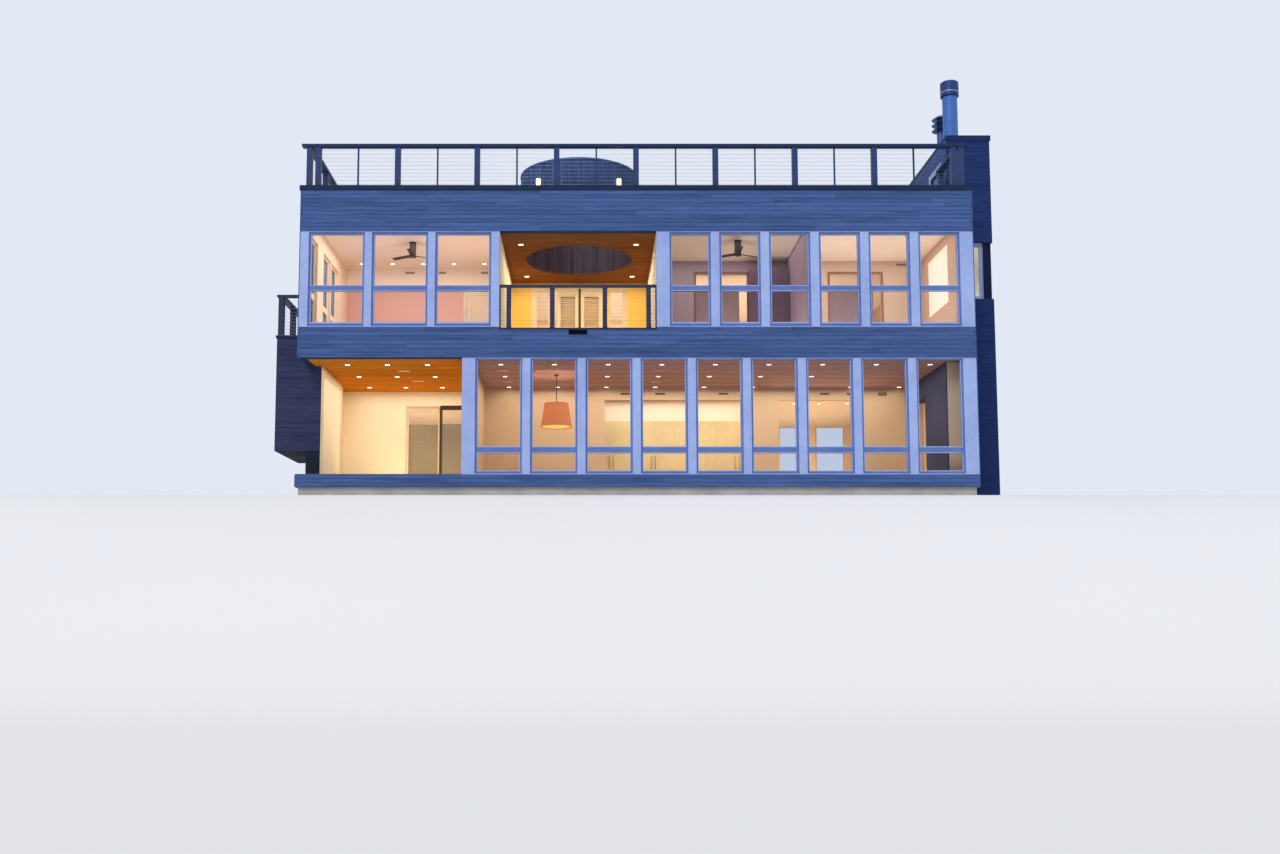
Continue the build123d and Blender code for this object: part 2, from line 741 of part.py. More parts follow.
tower_door_y = (tower_y0 + tower_door_inset, tower_y0 + tower_door_inset + tower_door_w)
tower_door_z = (roof_top, roof_top + tower_door_h)
with BuildPart() as tower_deck_wall:
    block((right, right + tower_wall_t), tower_inner_y, (roof_top, tower_z[1]))
    block((right, right + tower_wall_t), tower_door_y, tower_door_z, mode=Mode.SUBTRACT)
tower_deck_wall.part.label = "tower_deck_wall"
export_step(tower_deck_wall.part, "parts/tower_deck_wall.step")

with BuildPart() as tower_door:
    block((right + tower_door_setback, right + tower_door_setback + tower_door_t), tower_door_y, tower_door_z)
tower_door.part.label = "tower_door"
export_step(tower_door.part, "parts/tower_door.step")

# Frame of the corner window with its pane, and the trim round the low door
frame_y = tower_front_y[1] - tower_frame_t
pane_x = (tower_window_x[0] + tower_frame_w, tower_window_x[1] - tower_frame_w)
pane_z = (tower_window_z[0] + tower_frame_w, tower_window_z[1] - tower_frame_w)
with BuildPart() as tower_frames:
    block(tower_window_x, (frame_y, frame_y + tower_frame_t), tower_window_z)
    block(pane_x, (frame_y, frame_y + tower_frame_t), pane_z, mode=Mode.SUBTRACT)
    trim_x = (right - tower_door_trim_t, right)
    block(trim_x, (tower_door_y[0] - tower_door_trim, tower_door_y[1] + tower_door_trim),
          (roof_top, tower_door_z[1] + tower_door_trim))
    block(trim_x, tower_door_y, tower_door_z, mode=Mode.SUBTRACT)
tower_frames.part.label = "tower_frames"
export_step(tower_frames.part, "parts/tower_frames.step")

glass_y = frame_y + (tower_frame_t - glass_t) / 2
with BuildPart() as tower_glass:
    block(pane_x, (glass_y, glass_y + glass_t), pane_z)
tower_glass.part.label = "tower_glass"
export_step(tower_glass.part, "parts/tower_glass.step")

with BuildPart() as tower_roof:
    block((right, tower_right + deck_lip), (tower_y0 - deck_lip, tower_y1 + deck_lip),
          (tower_z[1], tower_top))
tower_roof.part.label = "tower_roof"
export_step(tower_roof.part, "parts/tower_roof.step")

# Tall flue with a wide cap, and a short vent with three louvre rings
flue_base = (right + flue_x_in, tower_y0 + flue_depth, tower_top)
vent_base = (right + flue_x_in, tower_y0 + vent_depth, tower_top)
with BuildPart() as tall_flue:
    with BuildSketch(Plane(origin=flue_base, x_dir=(1, 0, 0), z_dir=(0, -1, 0))):
        with BuildLine():
            Polyline((0, 0), (flue_r, 0), (flue_r, flue_h - flue_cap_h), (flue_cap_r, flue_h - flue_cap_h),
                     (flue_cap_r, flue_h - flue_cap_edge), (flue_cap_r - flue_cap_edge, flue_h),
                     (0, flue_h), close=True)
        make_face()
    revolve(axis=Axis(flue_base, (0, 0, 1)))
tall_flue.part.label = "tall_flue"
export_step(tall_flue.part, "parts/tall_flue.step")

with BuildPart() as short_vent:
    with BuildSketch(Plane(origin=vent_base, x_dir=(1, 0, 0), z_dir=(0, -1, 0))):
        panel((0, vent_r), (0, vent_h))
        for i in range(vent_louvres):
            low = vent_h - louvre_h - i * (louvre_h + louvre_gap)
            with BuildLine():
                Polyline((0, low), (vent_cap_r, low), (vent_r, low + louvre_h), (0, low + louvre_h),
                         close=True)
            make_face()
    revolve(axis=Axis(vent_base, (0, 0, 1)))
short_vent.part.label = "short_vent"
export_step(short_vent.part, "parts/short_vent.step")

# Two lamps on the front of the drum
with BuildPart() as drum_lamps:
    for side in (-1, 1):
        turn = -90 + side * lamp_angle
        with BuildSketch(Plane.XY.offset(roof_top + lamp_z)):
            with Locations((drum_x, drum_y)):
                with PolarLocations(drum_r + drum_t + lamp_r - lamp_bed, 1, start_angle=turn):
                    Circle(lamp_r)
                Circle(drum_r + drum_t + lamp_seat, mode=Mode.SUBTRACT)
        extrude(amount=lamp_h)
drum_lamps.part.label = "drum_lamps"
export_step(drum_lamps.part, "parts/drum_lamps.step")

# Ceiling fans in the two upper rooms: a fixed housing, and a rotor with three pitched blades below it
fan_places = [(left + fan_left_x, front + fan_left_y), (left + fan_right_x, front + fan_right_y)]
with BuildPart() as fan_housings:
    for place in fan_places:
        with BuildSketch(Plane.XY.offset(room_ceiling - fan_housing_h)):
            with Locations(place):
                Circle(fan_r)
        extrude(amount=fan_housing_h)
        with BuildSketch(Plane.XY.offset(room_ceiling - fan_housing_h - fan_pin_h)):
            with Locations(place):
                Circle(fan_pin_r)
        extrude(amount=fan_pin_h)
fan_housings.part.label = "fan_housings"
export_step(fan_housings.part, "parts/fan_housings.step")

hub_top = room_ceiling - fan_housing_h - fan_gap


def fan_rotor(place):
    """Hub and pitched blades of a fan, with a socket for the pin of the housing."""
    with BuildSketch(Plane.XY.offset(hub_top - fan_hub_h)) as hub:
        with Locations(place):
            Circle(fan_r)
    extrude(hub.sketch, amount=fan_hub_h)
    with BuildSketch(Plane.XY.offset(hub_top)) as socket:
        with Locations(place):
            Circle(fan_pin_r + fan_pin_gap)
    extrude(socket.sketch, amount=-(fan_pin_h - fan_gap + fan_pin_end), mode=Mode.SUBTRACT)
    middle = Plane(origin=(*place, hub_top - fan_hub_h / 2))
    for i in range(fan_blades):
        root = middle.rotated((0, 0, i * 360 / fan_blades + fan_turn))
        section = Plane(origin=root.origin + root.x_dir * (fan_r - fan_blade_root),
                        x_dir=root.y_dir, z_dir=root.x_dir)
        with BuildSketch(section) as blade:
            Rectangle(fan_blade_w, fan_blade_t, rotation=fan_pitch)
        extrude(blade.sketch, amount=fan_span - fan_r + fan_blade_root)


with BuildPart() as fan_left:
    fan_rotor(fan_places[0])
fan_left.part.label = "fan_left"
export_step(fan_left.part, "parts/fan_left.step")

with BuildPart() as fan_right:
    fan_rotor(fan_places[1])
fan_right.part.label = "fan_right"
export_step(fan_right.part, "parts/fan_right.step")

# Rear wall of the living room, with wide openings to the kitchen and the hall
living_rear_y = (front + living_rear_depth, front + living_rear_depth + inner_wall_t)
with BuildPart() as living_rear_wall:
    block((porch_right + wall_t, right - wall_t), living_rear_y, lower_span)
    for offset_x, width in living_openings:
        block((left + offset_x, left + offset_x + width), living_rear_y,
              (floor_1, ceiling_1 - living_opening_drop), mode=Mode.SUBTRACT)
living_rear_wall.part.label = "living_rear_wall"
export_step(living_rear_wall.part, "parts/living_rear_wall.step")

# Row of tall kitchen cupboards on a set-back plinth
cupboards_x = (left + kitchen_in_x, left + kitchen_in_x + cupboards * cupboard_w)
cupboards_y = (front + kitchen_depth, front + kitchen_depth + kitchen_t)
with BuildPart() as kitchen_cupboards:
    block(cupboards_x, (cupboards_y[0] + cupboard_door_t, cupboards_y[1]),
          (floor_1 + cupboard_plinth_h, floor_1 + kitchen_h))
    block(cupboards_x, (cupboards_y[0] + cupboard_plinth_in, cupboards_y[1]),
          (floor_1, floor_1 + cupboard_plinth_h))
    for i in range(cupboards):
        x = cupboards_x[0] + i * cupboard_w
        block((x + cupboard_gap / 2, x + cupboard_w - cupboard_gap / 2),
              (cupboards_y[0], cupboards_y[0] + cupboard_door_t),
              (floor_1 + cupboard_plinth_h, floor_1 + kitchen_h))
kitchen_cupboards.part.label = "kitchen_cupboards"
export_step(kitchen_cupboards.part, "parts/kitchen_cupboards.step")

# Chimney breast on the right wall of the living room, with a beam behind it
chimney_y0 = front + chimney_breast_start
chimney_y1 = chimney_y0 + chimney_breast_len
with BuildPart() as chimney_breast:
    chimney_x = (right - wall_t - chimney_breast_w, right - wall_t)
    block(chimney_x, (chimney_y0, chimney_y1), lower_span)
    block(chimney_x, (chimney_y1, chimney_y1 + chimney_beam_len), (ceiling_1 - chimney_beam_h, ceiling_1))
chimney_breast.part.label = "chimney_breast"
export_step(chimney_breast.part, "parts/chimney_breast.step")

# Pendant lamp in the living room: a rod, a spider and a tapered shade of flat pleats. Each arm of the
# spider points at the middle of a pleat.
pendant_x = left + pendant_in_x
pendant_y = front + pendant_in_y
shade_low = floor_1 + shade_lift
shade_plane = Plane(origin=(pendant_x, pendant_y, 0), x_dir=(1, 0, 0), z_dir=(0, -1, 0))
pendant_axis = Axis((pendant_x, pendant_y, 0), (0, 0, 1))
shade_at_spider = shade_top_r - shade_t + (shade_low_r - shade_top_r) * spider_drop / shade_h
shade_taper = math.degrees(math.atan2(shade_low_r - shade_top_r, shade_h))
with BuildPart() as pendant_shade:
    for inset, mode in ((0, Mode.ADD), (shade_t, Mode.SUBTRACT)):
        with BuildSketch(Plane(origin=(pendant_x, pendant_y, shade_low))):
            RegularPolygon(shade_low_r - inset, shade_sides, major_radius=False)
        extrude(amount=shade_h, taper=shade_taper, mode=mode)
pendant_shade.part.label = "pendant_shade"
export_step(pendant_shade.part, "parts/pendant_shade.step")

with BuildPart() as pendant_rod:
    with BuildSketch(shade_plane):
        panel((0, pendant_rod_r), (shade_low + shade_h - spider_drop - spider_t, ceiling_1))
        panel((0, pendant_rose_r), (ceiling_1 - pendant_rose_t, ceiling_1))
    revolve(axis=pendant_axis)
    for i in range(spider_arms):
        turn = i * 360 / spider_arms + 180 / shade_sides
        with Locations(Location((pendant_x, pendant_y, shade_low + shade_h - spider_drop - spider_t / 2),
                                (0, 0, turn))):
            Box(shade_at_spider - pendant_seat, spider_t, spider_t,
                align=(Align.MIN, Align.CENTER, Align.CENTER))
pendant_rod.part.label = "pendant_rod"
export_step(pendant_rod.part, "parts/pendant_rod.step")
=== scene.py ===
import math
import random

import bpy
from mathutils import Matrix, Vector

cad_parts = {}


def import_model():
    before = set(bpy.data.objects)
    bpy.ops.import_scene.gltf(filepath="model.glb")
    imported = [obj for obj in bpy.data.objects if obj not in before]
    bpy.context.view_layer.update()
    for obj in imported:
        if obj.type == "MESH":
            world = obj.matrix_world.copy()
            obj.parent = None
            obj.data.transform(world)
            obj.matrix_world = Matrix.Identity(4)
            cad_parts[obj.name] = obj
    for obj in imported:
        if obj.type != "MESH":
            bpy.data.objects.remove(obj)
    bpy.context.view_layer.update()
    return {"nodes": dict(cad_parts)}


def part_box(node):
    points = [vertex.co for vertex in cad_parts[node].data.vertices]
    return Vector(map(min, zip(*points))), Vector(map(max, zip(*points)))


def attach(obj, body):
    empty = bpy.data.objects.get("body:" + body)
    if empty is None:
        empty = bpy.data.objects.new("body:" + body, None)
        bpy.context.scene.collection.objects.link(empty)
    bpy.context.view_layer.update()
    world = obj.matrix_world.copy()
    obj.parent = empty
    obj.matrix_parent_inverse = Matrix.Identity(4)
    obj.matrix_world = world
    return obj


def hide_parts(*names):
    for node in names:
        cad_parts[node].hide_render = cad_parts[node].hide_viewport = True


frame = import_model()
nodes = frame["nodes"]
draw = random.Random(7)

# Places of the house, in metres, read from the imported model
wall_low, wall_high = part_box("front_window_walls")
floor_low, floor_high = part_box("ground_floor")
left, right = wall_low.x, wall_high.x
front, rear = floor_low.y, floor_high.y
floor_1, floor_2 = floor_high.z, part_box("upper_floor")[1].z
ceiling_1, head_2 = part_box("front_and_rear_bands")[0].z, wall_high.z
roof_low, roof_top = (corner.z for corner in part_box("roof_deck"))
room_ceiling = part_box("upper_ceiling")[0].z
porch_right, porch_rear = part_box("porch_floor")[1].xy
balcony_x0, balcony_x1 = (corner.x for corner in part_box("balcony_ceiling"))
balcony_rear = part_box("balcony_ceiling")[1].y
balcony_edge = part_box("balcony_railing")[0].z
drum_low, drum_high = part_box("roof_drum")
drum_x, drum_y = (drum_low.x + drum_high.x) / 2, (drum_low.y + drum_high.y) / 2
drum_outer = (drum_high.x - drum_low.x) / 2
drum_inner = drum_outer - 0.1
tower_low, tower_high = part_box("tower_end_walls")
wing_low, wing_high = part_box("wing_shell")
wing_top = wing_high.z + 0.06
porch_ceiling = ceiling_1 - 0.01
living_rear = front + 4.1
right_rooms_rear = front + 3.98
hall_front = front + 5.15

# Thicknesses and trims, in metres
wall_t = 0.2
sill_2 = 4.13
board_t = 0.018
deck_board_t = 0.012
board_pitch = 0.102
board_gap = 0.004
joint_gap = 0.003
least_piece = 0.012
corner_board = 0.035
casing_w = 0.09
sill_drop = 0.05
unit_edge = 0.02
sash_setback = 0.045
sash_face = 0.058
lower_span = (floor_1, ceiling_1)
upper_span = (sill_2, head_2)
lower_panes = ((floor_1 + 0.1, floor_1 + 0.52), (floor_1 + 0.68, ceiling_1 - 0.04))
upper_panes = ((sill_2 + 0.13, sill_2 + 0.9), (sill_2 + 1.04, head_2 - 0.07))
end_trim = 0.32
inner_trim = 0.205
side_unit_w = 0.997
side_mullion = 0.21
side_group_w = 3 * side_unit_w + 2 * side_mullion
side_pair_w = 2 * side_unit_w + side_mullion


def unit_spans(start, end, units, mullion):
    """The left and right edge of each window unit between two trims."""
    width = (end - start - (units - 1) * mullion) / units
    return [(start + i * (width + mullion), start + i * (width + mullion) + width) for i in range(units)]


# Windows along each side, as its own u runs
lower_front = unit_spans(porch_right + end_trim, right - end_trim, 9, 0.197)
upper_front = unit_spans(left + inner_trim, balcony_x0 - inner_trim, 3, 0.18)
upper_front += unit_spans(balcony_x1 + end_trim, right - end_trim, 6, 0.21)
left_units = unit_spans(1.0 - rear, 1.0 - rear + side_group_w, 3, side_mullion)
left_upper_units = unit_spans(-front - 3.59, -front - 1.72, 2, 0.07) + [(-front - 1.04, -front - 0.3)]
right_units = unit_spans(rear - 1.2 - side_pair_w, rear - 1.2, 2, side_mullion)
rear_start = 0.9 - right
rear_pitch = (right - left - 1.8 - side_group_w) / 2
rear_units = [unit for start in (rear_start, rear_start + rear_pitch, rear_start + 2 * rear_pitch)
              for unit in unit_spans(start, start + side_group_w, 3, side_mullion)]


def placed(name, data):
    """A new object in the scene."""
    made = bpy.data.objects.new(name, data)
    bpy.context.scene.collection.objects.link(made)
    return made


# Camera, at the photograph's viewing angle
camera = placed("camera", bpy.data.cameras.new("camera"))
camera.data.lens = 35
camera.data.sensor_width = 36
camera.data.shift_x = 0.0392
camera.data.shift_y = 0.052
camera.location = (-1.315, -35.1, -2.75)
camera.rotation_euler = (math.radians(95.5), 0, 0)
bpy.context.scene.camera = camera
bpy.context.scene.view_settings.view_transform = "Standard"


def colour(screen, share=1.0):
    """A screen colour such as "ff8800", or a share of it, as the linear colour that a shader takes."""
    parts = [share * int(screen[i:i + 2], 16) / 255 for i in (0, 2, 4)]
    return (*(part / 12.92 if part <= 0.04045 else ((part + 0.055) / 1.055) ** 2.4 for part in parts), 1)


class Graph:
    """A node tree in the making."""

    def __init__(self, tree):
        self.tree = tree

    def node(self, kind, inputs=None, **settings):
        made = self.tree.nodes.new("ShaderNode" + kind)
        for key, value in settings.items():
            setattr(made, key, value)
        for key, value in (inputs or {}).items():
            if isinstance(value, bpy.types.NodeSocket):
                self.tree.links.new(value, made.inputs[key])
            else:
                made.inputs[key].default_value = value
        return made

    def math(self, operation, first, second=0.0):
        return self.node("Math", {0: first, 1: second}, operation=operation).outputs[0]


paints = {}


class Paint(Graph):
    """A material in the making: its name, then those of the CAD pieces that wear it, and its shader."""

    def __init__(self, names, roughness=0.5, metallic=0.0, shine=0.15):
        name, *wearers = names.split()
        paints[name] = bpy.data.materials.new(name)
        for wearer in wearers:
            nodes[wearer].data.materials.clear()
            nodes[wearer].data.materials.append(paints[name])
        paints[name].use_nodes = True
        super().__init__(paints[name].node_tree)
        self.shader = self.tree.nodes["Principled BSDF"]
        for key, value in (("Roughness", roughness), ("Metallic", metallic), ("Specular IOR Level", shine)):
            self.shader.inputs[key].default_value = value

    def tone(self):
        """The tone that each board has in its mesh."""
        return self.node("Attribute", attribute_name="tone").outputs["Fac"]

    def vector(self, operation, inputs):
        return self.node("VectorMath", inputs, operation=operation).outputs[0]

    def place(self, stretch=(1, 1, 1), by_tone=0.0):
        """The place on the object, stretched along each axis, and shifted from board to board."""
        where = self.vector("MULTIPLY", {0: self.node("TexCoord").outputs["Object"], 1: stretch})
        if by_tone:
            shift = self.vector("SCALE", {0: (by_tone, by_tone * 0.7, by_tone * 1.3), "Scale": self.tone()})
            where = self.vector("ADD", {0: where, 1: shift})
        return where

    def noise(self, scale, detail=4.0, roughness=0.6, stretch=(1, 1, 1), by_tone=0.0):
        """Noise over the place on the object."""
        inputs = {"Vector": self.place(stretch, by_tone), "Scale": scale, "Detail": detail}
        return self.node("TexNoise", {**inputs, "Roughness": roughness}).outputs["Fac"]

    def span(self, value, low, high, to_low=0.0, to_high=1.0):
        return self.node("MapRange", {0: value, 1: low, 2: high, 3: to_low, 4: to_high}).outputs[0]

    def mix(self, factor, first, second, kind="MIX"):
        made = self.node("Mix", {0: factor, 6: first, 7: second}, data_type="RGBA", blend_type=kind)
        return made.outputs[2]

    def between(self, factor, dark, light):
        """A tone between two screen colours."""
        return self.mix(factor, colour(dark), colour(light))

    def axis(self, letter, output="Object"):
        where = self.node("TexCoord").outputs[output]
        return self.node("SeparateXYZ", {0: where}).outputs[letter]

    def past(self, letter, place):
        """1 past a place on an axis, and 0 before it."""
        return self.math("GREATER_THAN", self.axis(letter), place)

    def near(self, letter, low, high):
        """1 between two places on an axis, and 0 elsewhere."""
        off = self.math("ABSOLUTE", self.math("SUBTRACT", self.axis(letter), (low + high) / 2))
        return self.math("LESS_THAN", off, (high - low) / 2)

    def within(self, x, y):
        """1 inside a rectangle of the plan, and 0 outside it."""
        return self.math("MULTIPLY", self.near("X", *x), self.near("Y", *y))

    def set(self, key, value):
        self.tree.links.new(value, self.shader.inputs[key])

    def coat(self, body, grain, roughness, relief, reach=(0.2, 0.8)):
        """Colour, and gloss and relief that follow a grain; relief is its distance and its strength."""
        self.set("Base Color", body)
        self.set("Roughness", self.span(grain, *reach, *roughness))
        self.bump(grain, *relief)

    def bump(self, height, distance, strength):
        made = self.node("Bump", {"Height": height, "Distance": distance, "Strength": strength})
        self.set("Normal", made.outputs[0])


class WallPaint(Paint):
    """Wall paint, with slow clouds of tone and the stipple of a roller."""

    def __init__(self, names):
        super().__init__(names)
        self.cloud = self.noise(0.8, 3.0, 0.5)
        self.stipple = self.noise(160.0, 3.0)

    def clouded(self, dark, light):
        return self.between(self.cloud, dark, light)

    def roll(self, body, roughness=0.85):
        self.coat(body, self.stipple, (roughness + 0.05, roughness - 0.05), (0.0006, 0.3))


room_cream = ("e2c8aa", "ecd4b6")


def board_paint(names, dark, light, along, tones=(0.84, 1.12), streaks=0.5, shine=0.15, roughness=0.75):
    """Weathered boards: grain drawn out along the boards, dark streaks, and a tone for each board."""
    paint = Paint(names, shine=shine)
    fine = [1.2 if letter in along else 42 for letter in "xyz"]
    wide = [0.45 if letter in along else 11 for letter in "xyz"]
    by_tone = 90.0 if tones else 0.0
    grain = paint.noise(1.0, 5.0, 0.6, fine, by_tone)
    streak = paint.noise(1.0, 3.0, 0.5, wide, by_tone)
    body = paint.between(paint.span(grain, 0.3, 0.72), dark, light)
    darkened = paint.mix(1.0, body, colour("a8a6aa"), "MULTIPLY")
    body = paint.mix(paint.span(streak, 0.56, 0.68, 0.0, streaks), body, darkened)
    if tones:
        value = paint.span(paint.tone(), 0.0, 1.0, *tones)
        body = paint.node("HueSaturation", {"Value": value, "Color": body}).outputs[0]
    paint.coat(body, grain, (roughness + 0.1, roughness - 0.12), (0.003, 0.5))


def painted(names, tint, roughness=0.45, speckle=0.06, brush=(3, 3, 3)):
    """Paint with faint brush marks and slow changes to a cooler tone."""
    paint = Paint(names)
    mark = paint.noise(2.0, 5.0, 0.6, brush)
    cloud = paint.noise(0.9, 3.0, 0.5)
    body = paint.mix(paint.span(mark, 0.3, 0.7), colour(tint, 1 - speckle), colour(tint))
    cooled = paint.mix(1.0, body, colour("eceef6"), "MULTIPLY")
    body = paint.mix(paint.span(cloud, 0.4, 0.7), body, cooled)
    paint.coat(body, mark, (roughness + 0.08, roughness - 0.06), (0.0008, 0.4))


def plaster(names, light, dark, roughness=0.85):
    paint = WallPaint(names)
    paint.roll(paint.between(paint.span(paint.cloud, 0.3, 0.7), dark, light), roughness)


def concrete():
    paint = Paint("cast_concrete foundation")
    cloud = paint.noise(1.6, 6.0, 0.65)
    pores = paint.noise(55.0)
    body = paint.between(paint.span(cloud, 0.3, 0.7), "969698", "b6b5b2")
    body = paint.mix(paint.span(pores, 0.6, 0.72, 0.0, 0.5), body, colour("78787a"))
    paint.coat(body, pores, (0.95, 0.8), (0.003, 0.5), (0.3, 0.7))


def metal(names, dark, light, roughness=0.3):
    """Galvanised or brushed sheet, with spangle and faint run marks."""
    paint = Paint(names, metallic=0.85)
    spangle = paint.node("TexVoronoi", {"Vector": paint.place(), "Scale": 38.0}).outputs["Distance"]
    runs = paint.noise(1.0, stretch=(14, 14, 0.8))
    both = paint.math("ADD", paint.math("MULTIPLY", spangle, 0.5), paint.math("MULTIPLY", runs, 0.6))
    body = paint.between(paint.span(both, 0.2, 0.75), dark, light)
    paint.coat(body, both, (roughness + 0.15, roughness - 0.08), (0.001, 0.3))


def glass():
    """Clear glass: light goes straight through, with a reflection that grows towards the edge of sight."""
    names = "window_glass front_glass side_and_rear_glass door_glass porch_door_glass tower_glass"
    paint = Paint(names, 0.03, shine=0.5)
    paint.shader.inputs["Base Color"].default_value = colour("96a5c3")
    paint.bump(paint.noise(1.1, 2.0, 0.5), 0.002, 0.15)
    through = paint.node("BsdfTransparent", {"Color": colour("f4f6fa")}).outputs[0]
    edge = paint.node("LayerWeight", {"Blend": 0.15}).outputs["Fresnel"]
    both = paint.node("MixShader", {0: edge, 1: through, 2: paint.shader.outputs[0]}).outputs[0]
    paint.tree.links.new(both, paint.tree.nodes["Material Output"].inputs["Surface"])


def glow(names, tint, strength):
    """A lit lens or shade, a little brighter in the middle of each patch of its glass."""
    paint = Paint(names, 0.4)
    body = paint.mix(paint.span(paint.noise(30.0, 3.0), 0.3, 0.7), colour(tint, 0.93), colour(tint))
    paint.set("Base Color", body)
    paint.set("Emission Color", body)
    paint.shader.inputs["Emission Strength"].default_value = strength


def lined_wall(names, upright_only=False):
    """Outer walls: dark felt behind the boards outside, and wall paint on the room side."""
    paint = WallPaint(names)
    half = wall_t / 2
    within = paint.within((left + half, right - half), (front + half, rear - half))
    if upright_only:
        slope = paint.math("ABSOLUTE", paint.axis("Z", "Normal"))
        within = paint.math("MULTIPLY", within, paint.math("LESS_THAN", slope, 0.5))
    in_end_room = paint.math("MULTIPLY", paint.past("X", right - wall_t - 0.02), paint.past("Z", floor_2))
    inside = paint.mix(in_end_room, paint.clouded(*room_cream), colour("c4a48e"))
    outside = paint.between(paint.stipple, "26324e", "32405e")
    paint.roll(paint.mix(within, outside, inside), 0.87)


def lined_tower():
    """Walls of the tower: dark felt behind the boards outside, and pale paint inside."""
    paint = WallPaint("tower_walls tower_end_walls tower_side_wall tower_deck_wall")
    half = 0.075
    within = paint.within((right + half, tower_high.x - half), (tower_low.y + half, tower_high.y - half))
    inside = paint.between(paint.stipple, "f6ecd6", "fcf4e0")
    outside = paint.between(paint.stipple, "121a32", "1a2442")
    paint.roll(paint.mix(within, outside, inside), 0.87)


def lower_ceiling():
    """Ceiling of the lower rooms: mauve panels over the living room, and pale over the kitchen and hall."""
    paint = WallPaint("lower_ceiling_plaster living_ceiling")
    panel_w, joint_share = 0.61, 0.085
    across = paint.math("DIVIDE", paint.math("SUBTRACT", paint.axis("Y"), front + 0.5), panel_w)
    is_joint = paint.math("LESS_THAN", paint.math("FRACT", across), joint_share)
    mauve = paint.mix(is_joint, paint.clouded("b49894", "bea29c"), colour("d8beb4"))
    pale = paint.clouded("e6caa6", "eed4b2")
    paint.roll(paint.mix(paint.past("Y", living_rear + 0.06), mauve, pale))


def balcony_paint(names, dark, light):
    """A wall of the balcony: in its own colour on the balcony, and cream on the side of the rooms."""
    paint = WallPaint(names)
    half = wall_t / 2
    within = paint.within((balcony_x0 - half, balcony_x1 + half), (front - half, balcony_rear + half))
    paint.roll(paint.mix(within, paint.clouded(*room_cream), paint.clouded(dark, light)))


def room_paint():
    """Upper room walls: salmon with cream above on the left of the house, and mauve and tan on its right."""
    paint = WallPaint("room_walls upper_room_walls")
    salmon = paint.clouded("ce9e92", "d6a89a")
    left_walls = paint.mix(paint.past("Z", floor_2 + 2.25), salmon, colour("f0deca"))
    right_walls = paint.mix(paint.past("X", left + 12.5), colour("aa98a0"), colour("cab29c"))
    partition = (4.075, 4.185)
    right_walls = paint.mix(paint.near("X", *partition), right_walls, colour("927e8a"))
    paint.roll(paint.mix(paint.past("X", drum_x), left_walls, right_walls))


def zoned(names, marks, edge, first, second, roughness, relief, metallic=0.0):
    """Paint in two zones, the second past a place on an axis; marks are its noise and how it is stretched."""
    paint = Paint(names, metallic=metallic)
    mark = paint.noise(*marks[:2], stretch=marks[2])
    body = paint.mix(paint.past(*edge), paint.between(mark, *first), paint.between(mark, *second))
    paint.coat(body, mark, roughness, relief)


# Paints by name, and after its name the CAD pieces that wear each
even = (0.95, 1.05)
# The blue cast of the outside board colours here (weathered, backing, wing, tower, drum and deck boards) is
# painted dusk light.
board_paint("weathered_boards", "364e82", "4c669c", "xy")
board_paint("board_backing roof_drum", "26324e", "303e5e", "xy", None)
board_paint("wing_boards", "262b4a", "383e62", "xy", even)
board_paint("tower_boards", "142654", "223a74", "xy", even)
board_paint("dark_backing wing_shell wing_pier", "141b2c", "1b2338", "xy", None)
board_paint("drum_boards", "364876", "4a5e90", "z")
board_paint("roof_light_boards", "524654", "685a6a", "z")
board_paint("deck_boards_x", "525868", "707688", "x")
board_paint("deck_backing porch_floor", "363a46", "464b58", "x", None)
board_paint("ceiling_boards", "c47222", "e08e32", "x", streaks=0.3, shine=0.0)
board_paint("balcony_ceiling_boards", "804e2c", "a4683a", "x", streaks=0.3, shine=0.0)
board_paint("ceiling_backing porch_ceiling balcony_ceiling", "54301a", "683e22", "x", None)
board_paint("floor_boards ground_floor upper_floor", "805c3e", "a27a56", "x", None, roughness=0.4)
# The blue cast of the trim, sash, deck edge, tower roof and rail paints is painted dusk light; the trim
# itself is white.
painted("trim_paint front_window_walls tower_frames", "a0b4e6")
painted("sash_paint tower_door", "607ab8", 0.4)
painted("deck_edge_paint roof_deck roof_deck_bay wing_deck", "1a2a4c", 0.6, 0.15)
painted("tower_roof_paint tower_roof", "1a2c5e", 0.6, 0.15)
painted("dark_rail_paint wing_railing balcony_railing", "323a58", 0.45, 0.15)
painted("blind_slats", "ecc88a", 0.55, 0.08, (2, 2, 30))
# Vent grilles: their dark paint is painted shade in their slots.
painted("vent_painted_shade", "604e46", 0.6, 0.15)
painted("cream_trim", "fae2b8", 0.45, 0.05)
painted("fixed_panel_paint porch_fixed_panel", "fae6c0", 0.45, 0.05)
painted("door_leaf_paint porch_door", "5c462e", 0.4, 0.12)
painted("hall_cupboard_grey", "beacb4", 0.5, 0.05)
painted("room_door_cream", "e2ccb0", 0.5, 0.05)
painted("shade_cloth_tan", "e8ce9c", 0.8, 0.08, (60, 60, 60))
painted("wardrobe_paint", "705666", 0.5, 0.1)
painted("fan_paint fan_housings fan_left fan_right pendant_rod", "4a4244", 0.45, 0.12)
painted("cupboard_paint kitchen_cupboards", "eedeac", 0.35, 0.04)
painted("doorway_casing", "9e705c", 0.45, 0.08)
plaster("wall_plaster porch_side_wall living_rear_wall", "dac0a0", "d0b492")
plaster("porch_plaster porch_rear_wall porch_door_header", "fef4d6", "faecc8")
plaster("hall_ceiling_plaster", "eed4b2", "e6caa6")
plaster("room_ceiling_plaster upper_ceiling", "f0dcc6", "e8d2bc")
plaster("white_plaster", "f8f2e2", "f2ead8")
plaster("dark_stone chimney_breast", "42486a", "323856", 0.6)
balcony_paint("balcony_plaster balcony_rear_wall", "f6ca60", "fcd472")
balcony_paint("balcony_cream_plaster balcony_side_walls", "faeac8", "fcf0d2")
lined_wall("lined_walls side_walls rear_walls")
